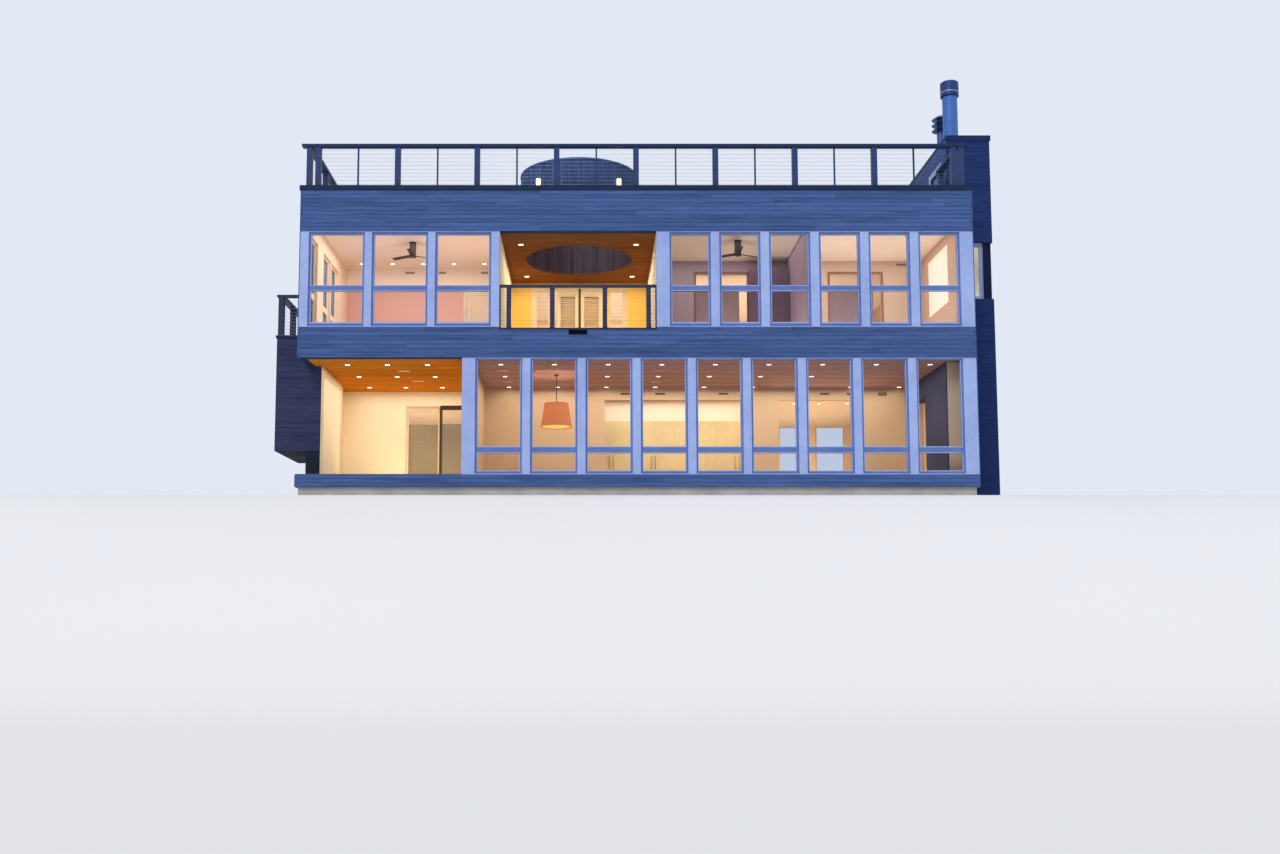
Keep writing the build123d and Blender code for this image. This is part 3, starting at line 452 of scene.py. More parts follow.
lined_wall("lined_bands side_bands front_and_rear_bands", True)
metal("door_pull", "78787c", "b0b0b4")
# The blue cast of the cable and cap steel is painted dusk light.
metal("cable_steel", "7884a0", "aab4cd")
metal("cap_sheet short_vent", "344e80", "4c689c", 0.35)
glow("lamp_lens", "ffecbe", 4.0)
glow("drum_lamp_glass drum_lamps", "ffeca0", 3.0)
glow("shade_diffuser_glass", "ffe070", 0.8)
glow("shade_cloth pendant_shade", "d68454", 0.12)
# The blue cast of the rail and flue colours is painted dusk light.
zoned("rail_paint front_railing rear_railing side_railings", (2.0, 5.0, (6, 6, 6)), ("Z", roof_top + 1.03),
      ("22325c", "364878"), ("182644", "263658"), (0.52, 0.4), (0.001, 0.4))
zoned("flue_sheet tall_flue", (1.0, 4.0, (14, 14, 0.8)), ("Z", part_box("tall_flue")[1].z - 0.42),
      ("365ca2", "5880c8"), ("223a6a", "345088"), (0.5, 0.34), (0.001, 0.3), 0.3)
zoned("track_paint porch_door_tracks", (2.0, 5.0, (3, 3, 3)), ("X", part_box("porch_door")[0].x + 0.019),
      ("e4d0ab", "f8e2ba"), ("443528", "4a3a2c"), (0.53, 0.4), (0.0008, 0.4))
for make in (lined_tower, lower_ceiling, room_paint, concrete, glass):
    make()


class Side:
    """A flat side of the house: u runs to the viewer's right, v runs up, and n comes out of it."""

    def __init__(self, origin, u, v=(0, 0, 1)):
        self.origin, self.u, self.v = Vector(origin), Vector(u), Vector(v)
        self.n = self.u.cross(self.v)

    def at(self, u, v, n):
        return self.origin + u * self.u + v * self.v + n * self.n


def facing(place, way="front"):
    """An upright side that faces the front, rear, left or right of the house, and where it stands."""
    along_u = {"front": (1, 0, 0), "rear": (-1, 0, 0), "left": (0, -1, 0), "right": (0, 1, 0)}[way]
    return Side((0, place, 0) if along_u[0] else (place, 0, 0), along_u)


front_side, rear_side = facing(front), facing(rear, "rear")
left_side, right_side = facing(left, "left"), facing(right, "right")
up = Side((0, 0, 0), (1, 0, 0), (0, 1, 0))
down = Side((0, 0, 0), (1, 0, 0), (0, -1, 0))
side_ends = {front_side: (left, right), rear_side: (-right, -left),
             left_side: (-rear, -front), right_side: (front, rear)}
tower_hole = (tower_low.y, tower_high.y, 0, 20)
wing_hole = (-wing_high.y, -wing_low.y, 0, wing_top)


def inset(rectangle, edge):
    """A rectangle with an edge taken off all round."""
    u0, u1, v0, v1 = rectangle
    return u0 + edge, u1 - edge, v0 + edge, v1 - edge


class Shape:
    """The points and faces of one joined mesh, with a tone for each board."""

    def __init__(self):
        self.points, self.faces, self.tones = [], [], []

    def add(self, points, faces, tone=0.5):
        start = len(self.points)
        self.points += points
        self.faces += [tuple(start + i for i in face) for face in faces]
        self.tones += [tone] * len(points)

    def loops(self, points, count):
        """Faces between closed loops of points, laid one after the other."""
        faces = []
        for base in range(0, len(points) - count, count):
            for i in range(count):
                j = (i + 1) % count
                faces.append((base + i, base + j, base + count + j, base + count + i))
        self.add(points, faces)

    def board(self, side, u, v, n, chamfer=0.003, tone=0.5, slant=(0, 0)):
        """A board with chamfered front edges, and ends that may slant from its lower to its upper edge."""
        (u0, u1), (v0, v1), (n0, n1) = u, v, n
        outline = ((u0, v0), (u1, v0), (u1 + slant[1], v1), (u0 + slant[0], v1))
        inwards = ((1, 1), (-1, 1), (-1, -1), (1, -1))
        inner = [(a + i * chamfer, b + j * chamfer) for (a, b), (i, j) in zip(outline, inwards)]
        layers = ((outline, n0), (outline, n1 - chamfer), (inner, n1))
        points = [side.at(*place, height) for layer, height in layers for place in layer]
        faces = [(8, 9, 10, 11)]
        for i in range(4):
            j = (i + 1) % 4
            faces += [(i, j, 4 + j, 4 + i), (4 + i, 4 + j, 8 + j, 8 + i)]
        self.add(points, faces, tone)

    def ring(self, side, outer, inner, steps):
        """A mitred frame between two rectangles; each step is a share of the way in and a height."""
        points = []
        for share, height in steps:
            u0, u1, v0, v1 = (a + (b - a) * share for a, b in zip(outer, inner))
            points += [side.at(u, v, height) for u, v in ((u0, v0), (u1, v0), (u1, v1), (u0, v1))]
        self.loops(points, 4)

    def circle(self, origin, axis, radius, height, segments):
        axis = Vector(axis).normalized()
        across = axis.orthogonal().normalized()
        other = axis.cross(across)
        turns = [2 * math.pi * i / segments for i in range(segments)]
        return [Vector(origin) + axis * height + radius * (math.cos(turn) * across + math.sin(turn) * other)
                for turn in turns]

    def lathe(self, origin, profile, segments, axis=(0, 0, 1)):
        """A round form: each point of the profile is a radius and a height along the axis."""
        circles = [self.circle(origin, axis, radius, height, segments) for radius, height in profile]
        self.loops(sum(circles, []), segments)

    def disc(self, origin, axis, radius, segments):
        self.add(self.circle(origin, axis, radius, 0.0, segments), [tuple(range(segments))])

    def rod(self, start, end, radius, segments=6):
        """A thin straight rod with closed ends."""
        along = Vector(end) - Vector(start)
        profile = ((0.0, 0.0), (radius, 0.0), (radius, along.length), (0.0, along.length))
        self.lathe(start, profile, segments, along)

    def pull(self, x, y, bar, reach, inset_z, thick, segments=8, sunk=0.002):
        """An upright bar pull on two stubs, in front of a door's face."""
        self.rod((x, y - reach, bar[0]), (x, y - reach, bar[1]), thick[0], segments)
        for z in (bar[0] + inset_z, bar[1] - inset_z):
            self.rod((x, y + sunk, z), (x, y - reach, z), thick[1], segments - 2)

    def finish(self, name, paint, slot, body="house", smooth=False):
        mesh = bpy.data.meshes.new(name)
        mesh.from_pydata([tuple(point) for point in self.points], [], self.faces)
        mesh.attributes.new("tone", "FLOAT", "POINT").data.foreach_set("value", self.tones)
        mesh.polygons.foreach_set("use_smooth", [smooth] * len(mesh.polygons))
        mesh.materials.append(paints[paint])
        mesh.update()
        made = placed(name, mesh)
        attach(made, body)
        return made


def open_height(holes, middle, low, high):
    """What is left of a row between two heights, beside, below or above the holes."""
    for u0, u1, v0, v1 in holes:
        if u0 < middle < u1 and v0 < high and v1 > low:
            if v0 <= low and v1 >= high:
                return low, low
            if v0 <= low:
                low = v1
            else:
                high = v0
    return low, high


def open_pieces(holes, u, low, high):
    """The free lengths of a row of boards, and the heights that each has left between the holes."""
    edges = sorted({*u, *(edge for hole in holes for edge in hole[:2] if u[0] < edge < u[1])})
    pieces = []
    for a, b in zip(edges, edges[1:]):
        part = open_height(holes, (a + b) / 2, low, high)
        if part[1] - part[0] < least_piece:
            continue
        if pieces and pieces[-1][1:] == [a, part]:
            pieces[-1][1] = b
        else:
            pieces.append([a, b, part])
    return pieces


def board_rows(u, v, pitch, lengths):
    """Boards laid in rows: the heights of the row, the two ends of the board, and its tone."""
    rows = max(1, round((v[1] - v[0]) / pitch))
    pitch = (v[1] - v[0]) / rows
    for row in range(rows):
        start = u[0] - draw.uniform(0.0, lengths[1])
        while start < u[1]:
            end = start + draw.uniform(*lengths)
            yield v[0] + row * pitch, v[0] + (row + 1) * pitch, start, end, draw.random()
            start = end


def clad(shape, side, u, v, holes=(), pitch=board_pitch, depth=(0.0, board_t), lengths=(2.2, 4.2),
         gap=board_gap, chamfer=0.003):
    """Rows of boards over a rectangle, cut round its holes, with butt joints at uneven places."""
    for low, high, start, end, tone in board_rows(u, v, pitch, lengths):
        for a, b, (v0, v1) in open_pieces(holes, u, low, high):
            a, b = max(a, start + joint_gap / 2), min(b, end - joint_gap / 2)
            if b - a > least_piece:
                shape.board(side, (a, b), (v0 + gap / 2, v1 - gap / 2), depth, chamfer, tone)


def clad_round(shape, side, u, v, circle, depth, pitch, gap, lengths):
    """Rows of boards round a circle, with ends that follow it."""
    cu, cv, radius = circle
    for low, high, start, end, tone in board_rows(u, v, pitch, lengths):
        span = (low + gap / 2, high - gap / 2)
        lower, upper = (math.sqrt(max(radius ** 2 - (edge - cv) ** 2, 0.0)) for edge in span)
        widest = max(lower, upper)
        a, b = max(start, u[0]) + joint_gap / 2, min(end, u[1]) - joint_gap / 2
        if b - a < least_piece:
            continue
        if widest == 0 or b < cu - widest or a > cu + widest:
            shape.board(side, (a, b), span, depth, tone=tone)
            continue
        if a < cu - widest:
            shape.board(side, (a, cu - lower), span, depth, tone=tone, slant=(0, lower - upper))
        if b > cu + widest:
            shape.board(side, (cu + lower, b), span, depth, tone=tone, slant=(upper - lower, 0))


def corner_boards(shape, side, ends, span, count=2):
    """A narrow upright board at the ends of a wall."""
    for a in (ends[0], ends[1] - corner_board)[:count]:
        shape.board(side, (a, a + corner_board), span, (0.0, board_t + 0.004), tone=0.35)


def within_corners(ends):
    return ends[0] + corner_board, ends[1] - corner_board


def window_holes(units, span):
    """One hole for each window unit, with the trim round it."""
    low, high = span[0] + unit_edge - sill_drop, span[1] - unit_edge + casing_w
    return [(u0 - casing_w, u1 + casing_w, low, high) for u0, u1 in units]


def bands():
    """Grey boards of the two bands, round all four sides, and the scupper under the balcony, lined in dark
    paint that is painted shade inside its recess.
    """
    shape, box = Shape(), Shape()
    u0, u1, v0, v1 = drum_x - 0.225, drum_x + 0.225, balcony_edge - 0.12, balcony_edge
    above = sill_2 + 1
    front_holes = [(u0, u1, v0, above), (balcony_x0, balcony_x1, v1, above)]
    lower_holes = {front_side: front_holes, left_side: [wing_hole]}
    for side, ends in side_ends.items():
        for span in ((ceiling_1, sill_2), (head_2, roof_low)):
            holes = [tower_hole] if side is right_side else []
            if span[0] == ceiling_1:
                holes = lower_holes.get(side, holes)
            clad(shape, side, within_corners(ends), span, holes)
            corner_boards(shape, side, ends, span)
    shape.finish("band_boards", "weathered_boards", "grey_cladding")
    # The scupper's lining is a real sheet; its dark paint is painted shade inside the recess.
    sheet, depth = 0.008, (-0.16, board_t)
    for u, v, n in (((u0, u0 + sheet), (v0, v1), depth), ((u1 - sheet, u1), (v0, v1), depth),
                    ((u0, u1), (v0, v0 + sheet), (-0.16, 0.03)), ((u0, u1), (v1 - sheet, v1), depth),
                    ((u0, u1), (v0, v1), (-0.17, -0.15))):
        box.board(front_side, u, v, n, 0.001)
    box.finish("balcony_scupper_painted_shade", "deck_edge_paint", "dark_metal")


def outer_walls():
    """Grey boards of the side and rear walls between the bands."""
    shape = Shape()
    for span in (lower_span, upper_span):
        clad(shape, rear_side, within_corners(side_ends[rear_side]), span, window_holes(rear_units, span))
        u, holes = (-rear + corner_board, -wing_high.y), window_holes(left_units, span)
        if span is upper_span:
            u = within_corners(side_ends[left_side])
            holes += window_holes(left_upper_units, span) + [wing_hole]
        clad(shape, left_side, u, span, holes)
        holes = window_holes(right_units, span) + [tower_hole]
        clad(shape, right_side, within_corners(side_ends[right_side]), span, holes)
    for side in (rear_side, right_side, left_side):
        for span in (lower_span, upper_span):
            at_porch = side is left_side and span is lower_span
            corner_boards(shape, side, side_ends[side], span, 1 if at_porch else 2)
    shape.finish("wall_boards", "weathered_boards", "grey_cladding")


def window_frames():
    """Casings round the side and rear windows, and a moulded sash with a bead round every pane."""
    sashes, casings = Shape(), Shape()
    lower, upper = (lower_span, lower_panes), (upper_span, upper_panes)
    runs = [(front_side, lower_front, lower), (front_side, upper_front, upper)]
    for storey in (lower, upper):
        for side, units in ((rear_side, rear_units), (left_side, left_units), (right_side, right_units)):
            runs.append((side, units, storey))
    runs.append((left_side, left_upper_units, upper))
    bead = ((0, 0.0), (0, 0.004), (0.72, 0.004), (0.76, -0.002), (0.94, -0.002), (1.0, -0.01), (1.0, -0.03))
    bead = [(share, height - sash_setback) for share, height in bead]
    casing = ((0, 0.0), (0, 0.03), (0.04, 0.034), (1, 0.034), (1, -0.05))
    for side, units, (span, panes) in runs:
        low, high = span[0] + unit_edge, span[1] - unit_edge
        middle = (panes[0][1] + panes[1][0]) / 2
        for u0, u1 in units:
            for v, pane in (((low, middle - 0.002), panes[0]), ((middle + 0.002, high), panes[1])):
                sashes.ring(side, (u0, u1, *v), (u0 + sash_face, u1 - sash_face, *pane), bead)
            if side is not front_side:
                start, end = u0 - casing_w, u1 + casing_w
                casings.ring(side, (start, end, low - 0.02, high + casing_w), (u0, u1, low, high), casing)
                casings.board(side, (start - 0.02, end + 0.02), (low - sill_drop, low), (0.0, 0.038))
    sashes.finish("window_sashes", "sash_paint", "white_trim")
    casings.finish("window_casings", "trim_paint", "white_trim")


def dark_walls():
    """Dark boards of the wing and the tower, and the grey ones of the tower's deck side."""
    close = {"pitch": 0.145, "gap": 0.0015, "chamfer": 0.0015}
    wing, tower, pale = Shape(), Shape(), Shape()
    wing_front, wing_z = facing(wing_low.y), (wing_low.z, wing_high.z)
    clad(wing, wing_front, (wing_low.x, wing_high.x), (wing_low.z, ceiling_1), **close)
    clad(wing, wing_front, (wing_low.x, left), (ceiling_1, wing_high.z), **close)
    clad(wing, facing(wing_low.x, "left"), (-wing_high.y, -wing_low.y), wing_z, **close)
    clad(wing, facing(wing_high.y, "rear"), (-left, -wing_low.x), wing_z, **close)
    wing.finish("wing_boards", "wing_boards", "dark_cladding")
    tower_z, window_z = (0.0, tower_high.z), (floor_1 + 4.78, floor_1 + 6.27)
    corner_window = [(right + 0.25, tower_high.x + 1, *window_z)]
    clad(tower, facing(tower_low.y), (right, tower_high.x), tower_z, corner_window, **close)
    clad(tower, facing(tower_high.y, "rear"), (-tower_high.x, -right), tower_z, **close)
    corner_window = [(tower_low.y - 1, tower_low.y + 0.15, *window_z)]
    clad(tower, facing(tower_high.x, "right"), (tower_low.y, tower_high.y), tower_z, corner_window, **close)
    tower.finish("tower_boards", "tower_boards", "dark_cladding")
    low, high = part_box("tower_door")
    door = (-high.y - 0.15, -low.y + 0.15, roof_top, high.z + 0.15)
    clad(pale, facing(right, "left"), (-tower_high.y, -tower_low.y), (roof_top, tower_high.z), [door],
         depth=(0.0, 0.016))
    pale.finish("tower_deck_boards", "weathered_boards", "grey_cladding")


def fascia():
    """Boards over the edge of the ground floor, round all four sides."""
    shape = Shape()
    for side in (front_side, rear_side, left_side):
        clad(shape, side, side_ends[side], (floor_low.z, floor_1 - 0.002))
    for ends in ((front, tower_low.y), (tower_high.y, rear)):
        clad(shape, right_side, ends, (floor_low.z, floor_1 - 0.002))
    shape.finish("plinth_boards", "weathered_boards", "grey_cladding")


def porch_lining():
    """Pale lining of the porch's left wall, with a large white-framed panel."""
    lining, trim = Shape(), Shape()
    face, span, depth = facing(wing_high.x, "right"), (floor_1 + deck_board_t, porch_ceiling), (0.0, 0.012)
    lining.board(face, (wing_low.y + 0.01, wing_high.y), span, depth)
    lining.board(facing(wing_high.y, "rear"), (-wing_high.x, -left - wall_t), span, depth)
    lining.finish("porch_lining", "porch_plaster", "warm_plaster")
    u0, u1, v0, v1 = wing_low.y + 0.05, wing_high.y - 0.05, floor_1 + 0.05, ceiling_1 - 0.1
    trim.ring(face, (u0, u1, v0, v1), (u0 + 0.11, u1 - 0.11, v0 + 0.14, v1 - 0.11),
              ((0, 0.012), (0, 0.045), (0.9, 0.045), (1, 0.03), (1, 0.012)))
    trim.finish("porch_panel_frame", "cream_trim", "white_trim")


def balcony_doors():
    """The four glazed balcony leaves and their casing, side panels, and blinds behind the middle two."""
    frames, slats, panels, post = Shape(), Shape(), Shape(), Shape()
    face, low, high = facing(balcony_rear), floor_2 + 0.058, floor_2 + 2.24
    middle, half_w = (balcony_x0 + balcony_x1) / 2, 1.3
    start, end = middle - half_w, middle + half_w
    for u in ((balcony_x0 + 0.35, start - 0.04), (end + 0.04, balcony_x1 - 0.35)):
        panels.board(face, u, (low, high), (-0.05, -0.001), 0.001)
    # A real meeting stile between the middle leaves; its dark paint is painted shade in the gap between them.
    post.board(face, (middle - 0.032, middle + 0.032), (low, high), (-0.03, 0.004), 0.004)
    leaf = ((0, -0.04), (0, -0.012), (0.8, -0.012), (0.84, -0.018), (1.0, -0.024), (1.0, -0.045))
    slat_pitch, slat_half, slat_slope = 0.055, 0.026, Vector((0, 0.5, 1)).normalized()
    for k, (u0, u1) in enumerate(unit_spans(start, end, 4, 0.06)):
        has_blind = k in (1, 2)
        pane = (u0 + (0.17 if k == 3 else 0.1), u1 - (0.17 if k == 0 else 0.1), low + 0.14,
                high - (0.22 if has_blind else 0.12))
        frames.ring(face, (u0, u1, low, high), pane, leaf)
        for i in range(int((high - low - 0.16) / slat_pitch) if has_blind else 0):
            tilt = Side((0, balcony_rear + 0.11, low + (i + 0.5) * slat_pitch), (1, 0, 0), slat_slope)
            slats.board(tilt, (u0 + 0.02, u1 - 0.02), (-slat_half, slat_half), (0.0, 0.006), 0.002)
    frames.ring(face, (start - 0.05, end + 0.05, floor_2 + 0.012, high + 0.085), (start, end, low, high),
                ((0, 0.0), (0, 0.022), (0.85, 0.022), (1, 0.012), (1, -0.03)))
    panels.finish("balcony_side_panels", "balcony_plaster", "warm_plaster")
    post.finish("balcony_meeting_stile_painted_shade", "door_leaf_paint", "door_frame")
    frames.finish("balcony_door_leaves", "cream_trim", "white_trim")
    slats.finish("balcony_door_blinds", "blind_slats", "white_trim")


def vents():
    """Small slotted grilles high on the rear walls of the front rooms, painted dark as painted shade in their
    slots.
    """
    shape = Shape()
    header_z, slat_pitch = 3.223, 0.014
    upper_z, upper_slat = (6.765, 6.82), (6.785, 6.8)

    def grille(wall, x, width, z, edge, thick, slats):
        outer = (x - width / 2, x + width / 2, *z)
        inner = inset(outer, edge)
        shape.ring(wall, outer, inner, ((0, 0.0), (0, thick), (0.8, thick), (1, 0.001)))
        for slat in slats:
            shape.board(wall, inner[:2], slat, (0.0, 0.005), 0.001)

    for x, width, height in ((-0.338, 0.26, 0.05), (0.607, 0.26, 0.05), (2.34, 0.26, 0.05),
                             (5.1, 0.24, 0.05), (5.83, 0.24, 0.05), (6.68, 0.23, 0.1)):
        z, count = header_z - height / 2, 2 if height < 0.1 else 5
        slats = [(z + 0.013 + i * slat_pitch, z + 0.021 + i * slat_pitch) for i in range(count)]
        grille(facing(living_rear), x, width, (z, z + height), 0.012, 0.008, slats)
    upper_vents = [(balcony_rear, x, width) for x, width in ((-6.38, 0.25), (-5.463, 0.18), (-4.278, 0.2))]
    for y, x, width in (*upper_vents, (right_rooms_rear, 7.25, 0.25)):
        grille(facing(y), x, width, upper_z, 0.01, 0.006, [upper_slat])
    shape.finish("wall_vents", "vent_painted_shade", "dark_metal")


def ceiling_slots():
    """Long slots between the downlights of the porch and the living room."""
    shape = Shape()
    places = [(-6.03, -3.98, porch_ceiling), (-5.86, -2.6, porch_ceiling)]
    places += [(lower_columns[n], y, ceiling_1) for n in (0, 3) for y in (-3.98, -2.43)]
    for x, y, z in places:
        outer = (x - 0.14, x + 0.14, -y - 0.045, -y + 0.045)
        shape.ring(down, outer, inset(outer, 0.02), ((0, -z), (0, 0.01 - z), (0.7, 0.01 - z), (1, 0.002 - z)))
        shape.board(down, (x - 0.12, x + 0.12), (-y - 0.012, -y + 0.012), (-z, 0.006 - z), 0.002)
    shape.finish("ceiling_slots", "cream_trim", "white_trim")


def balcony_posts():
    """Broad sleeves round the four middle posts of the balcony railing, with a foot and a neck moulding."""
    shape, middle_posts = Shape(), (-3.276, -2.224, -0.949, 0.108)
    low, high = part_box("balcony_railing")
    sleeve, moulding = (0.0, 0.086), (-0.006, 0.092)
    face = facing((low.y + high.y + sleeve[1]) / 2)
    for x in middle_posts:
        shape.board(face, (x - 0.056, x + 0.056), (low.z + 0.045, high.z - 0.07), sleeve, 0.004)
        for z in (low.z + 0.06, high.z - 0.1):
            shape.board(face, (x - 0.062, x + 0.062), (z, z + 0.03), moulding, 0.004)
    shape.finish("balcony_post_sleeves", "dark_rail_paint", "dark_rail")


def kitchen():
    """The soffit over the kitchen cupboards, and a bar pull on each cupboard door."""
    soffit, pulls = Shape(), Shape()
    low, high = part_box("kitchen_cupboards")
    soffit.board(facing(low.y + 0.012), (low.x, high.x), (high.z, ceiling_1), (-0.3, 0.0))
    soffit.finish("kitchen_soffit", "white_plaster", "warm_plaster")
    for i in range(8):
        x = low.x + (i + (0.9 if i % 2 == 0 else 0.1)) * 0.6
        pulls.pull(x, low.y, (low.z + 0.8, low.z + 1.2), 0.03, 0.05, (0.007, 0.005), sunk=0.004)
    pulls.finish("cupboard_pulls", "door_pull", "galvanised_steel", smooth=True)


def porch_door_parts():
    """Folded shades behind the fixed panel and the sliding leaf of the porch door, and the leaf's handle."""
    low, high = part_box("porch_door")
    folds, pitch, start = 42, 0.042, floor_1 + 0.135
    for name, body, place, u, thick in (
            ("porch_panel_shade", "house", porch_rear + 0.19, (-6.36, -5.5), 0.012),
            ("porch_door_shade", "porch_door", low.y + 0.043, (low.x + 0.08, low.x + 0.88), 0.006)):
        shade, inside, top = Shape(), facing(place), start + folds * pitch
        for i in range(folds):
            v0 = start + i * pitch
            shade.board(inside, u, (v0, v0 + pitch - 0.0015), (0.0, thick), thick / 2.2)
        shade.board(inside, u, (top, top + 0.03), (0.0, thick + 0.001))
        shade.finish(name, "shade_cloth_tan", "warm_plaster", body)
    handle = Shape()
    handle.pull(high.x - 0.038, low.y, (floor_1 + 0.9, floor_1 + 1.25), 0.045, 0.04, (0.009, 0.006), 10)
    handle.finish("porch_door_handle", "door_pull", "door_frame", "porch_door", smooth=True)


def linings():
    """The entry's lower ceiling, a framed panel in the end room, and a pale plaster lining on the chimney
    breast's end that is painted light on that end.
    """
    ceiling, panel, end = Shape(), Shape(), Shape()
    ceiling.board(down, (left + wall_t, porch_right), (-rear + wall_t, -porch_rear - wall_t),
                  (-ceiling_1 - 0.04, -ceiling_1))
    ceiling.finish("entry_ceiling", "hall_ceiling_plaster", "warm_plaster")
    wall, outer = facing(right - wall_t, "left"), (2.45, 4.21, 5.12, 6.59)
    inner = inset(outer, 0.05)
    panel.ring(wall, outer, inner, ((0, 0.0), (0, 0.02), (0.8, 0.02), (1, 0.012), (1, 0.0)))
    panel.board(wall, inner[:2], inner[2:], (0.0, 0.006))
    panel.finish("right_room_panel", "white_plaster", "white_trim")
    # Painted light: the front end of the dark stone breast is lined in pale plaster to show it lit.
    low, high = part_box("chimney_breast")
    end.board(facing(low.y), (low.x + 0.03, high.x), (floor_1 + 0.01, porch_ceiling), (0.0, 0.012))
    end.finish("chimney_end_painted_light", "wall_plaster", "warm_plaster")


def cupboard(shape, face, u, head, depth):
    """A tall cupboard on the upper floor: its body, and two doors that meet in the middle."""
    middle, door_t = (u[0] + u[1]) / 2, 0.02
    shape.board(face, u, (floor_2, head), (-depth, -door_t))
    for door in ((u[0] + 0.003, middle - 0.0015), (middle + 0.0015, u[1] - 0.003)):
        shape.board(face, door, (floor_2 + 0.08, head - 0.003), (-door_t, 0.0))
    return middle


def upper_right_rooms():
    """Casings of the two doorways, the cupboards in the hall behind them, and a wardrobe."""
    casings, cupboards, knobs, wardrobe, pulls = (Shape() for _ in range(5))
    face, head, trim, depth = facing(right_rooms_rear), floor_2 + 2.436, 0.06, (0.0, 0.015)
    for u0, u1 in ((1.605, 3.005), (5.28, 6.68)):
        for u, low in (((u0 - trim, u0), floor_2), ((u1, u1 + trim), floor_2), ((u0, u1), head)):
            casings.board(face, u, (low, head + trim), depth)
    casings.finish("doorway_casings", "doorway_casing", "white_trim")
    knob_z = floor_2 + 1.05
    for u in ((1.4, 2.93), (5.2, 6.73)):
        middle = cupboard(cupboards, facing(hall_front), u, floor_2 + 2.29, 0.55)
        for x in (middle - 0.04, middle + 0.04):
            knobs.rod((x, hall_front + 0.002, knob_z), (x, hall_front - 0.03, knob_z), 0.012, 10)
    cupboards.finish("hall_cupboards", "hall_cupboard_grey", "cupboard_paint")
    knobs.finish("hall_cupboard_knobs", "door_pull", "galvanised_steel", smooth=True)
    wardrobe_y = front + 3.46
    middle = cupboard(wardrobe, facing(wardrobe_y), (3.0, 4.085), floor_2 + 2.43, 0.5)
    for x in (middle - 0.0425, middle + 0.0425):
        pulls.pull(x, wardrobe_y, (floor_2 + 0.95, floor_2 + 1.2), 0.03, 0.03, (0.006, 0.005))
    wardrobe.finish("right_room_wardrobe", "wardrobe_paint", "cupboard_paint")
    pulls.finish("wardrobe_pulls", "door_pull", "galvanised_steel", smooth=True)


def left_room_door():
    """A closed two-panel door with its casing, in the rear wall of the left room."""
    door, wall = Shape(), facing(balcony_rear)
    u0, u1, head, casing = -4.78, -3.86, floor_2 + 2.19, 0.085
    door.ring(wall, (u0 - casing, u1 + casing, floor_2, head + casing), (u0, u1, floor_2, head),
              ((0, 0.0), (0, 0.02), (0.8, 0.02), (0.86, 0.014), (1, 0.014), (1, 0.0)))
    door.board(wall, (u0 + 0.003, u1 - 0.003), (floor_2 + 0.01, head - 0.003), (0.0, 0.004))
    for v in ((floor_2 + 0.13, floor_2 + 0.95), (floor_2 + 1.08, head - 0.12)):
        panel = (u0 + 0.12, u1 - 0.12, *v)
        door.ring(wall, panel, inset(panel, 0.03), ((0, 0.003), (0.3, 0.012), (0.7, 0.012), (1, 0.0035)))
    door.finish("left_room_door", "room_door_cream", "white_trim")


def flue_rings():
    """Raised seams of the tall flue, and the bright ring inside the rim of its cap."""
    low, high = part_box("tall_flue")
    x, y, pipe, cap = (low.x + high.x) / 2, (low.y + high.y) / 2, 0.204, (high.x - low.x) / 2
    seams, bright = Shape(), Shape()
    seam = ((pipe - 0.006, 0.0), (pipe, 0.004), (pipe + 0.004, 0.012), (pipe, 0.02), (pipe - 0.006, 0.024))
    for z in (low.z + 0.16, low.z + 0.9):
        seams.lathe((x, y, z), seam, 48)
    band = ((cap - 0.002, 0.0), (cap + 0.003, 0.004), (cap + 0.003, 0.026), (cap - 0.002, 0.03))
    bright.lathe((x, y, high.z - 0.31), band, 48)
    seams.finish("flue_seams", "flue_sheet", "galvanised_steel", smooth=True)
    bright.finish("flue_cap_ring", "cable_steel", "galvanised_steel", smooth=True)


def pleated_shade():
    """The pendant's shade: narrow pleats between two bound rims, with a glowing diffuser low down."""
    low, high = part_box("pendant_shade")
    x, y = (low.x + high.x) / 2, (low.y + high.y) / 2
    pleats, pleat_depth, rows, cloth_t = 44, 0.018, 6, 0.0015
    radius_low, radius_high, count = 0.404, 0.314, 2 * pleats
    shape, diffuser = Shape(), Shape()
    for inside in (False, True):
        points = []
        for row in range(rows + 1):
            share = row / rows
            z = low.z + (high.z - low.z) * share
            radius = radius_low + (radius_high - radius_low) * share - (cloth_t if inside else 0.0)
            radius -= 0.004 * math.sin(math.pi * share)
            for i in range(count):
                turn = math.pi * i / pleats
                reach = radius - (pleat_depth if i % 2 else 0.0)
                points.append(Vector((x + reach * math.cos(turn), y + reach * math.sin(turn), z)))
        shape.loops(points, count)
        if inside:
            shape.faces[-count * rows:] = [face[::-1] for face in shape.faces[-count * rows:]]
    for z, radius in ((low.z + 0.001, radius_low), (high.z - 0.016, radius_high)):
        inner, outer = radius - 0.014, radius + 0.002
        shape.lathe((x, y, z), ((inner, 0), (outer, 0), (outer, 0.015), (inner, 0.015), (inner, 0)), 72)
    made = shape.finish("pleated_shade", "shade_cloth", "lamp_shade")
    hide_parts("pendant_shade")
    dish = ((0.0, 0.0), (0.37, 0.0), (0.375, 0.004), (0.37, 0.008), (0.0, 0.008))
    diffuser.lathe((x, y, low.z + 0.012), dish, 48)
    diffuser.finish("shade_diffuser", "shade_diffuser_glass", "lamp_glass")


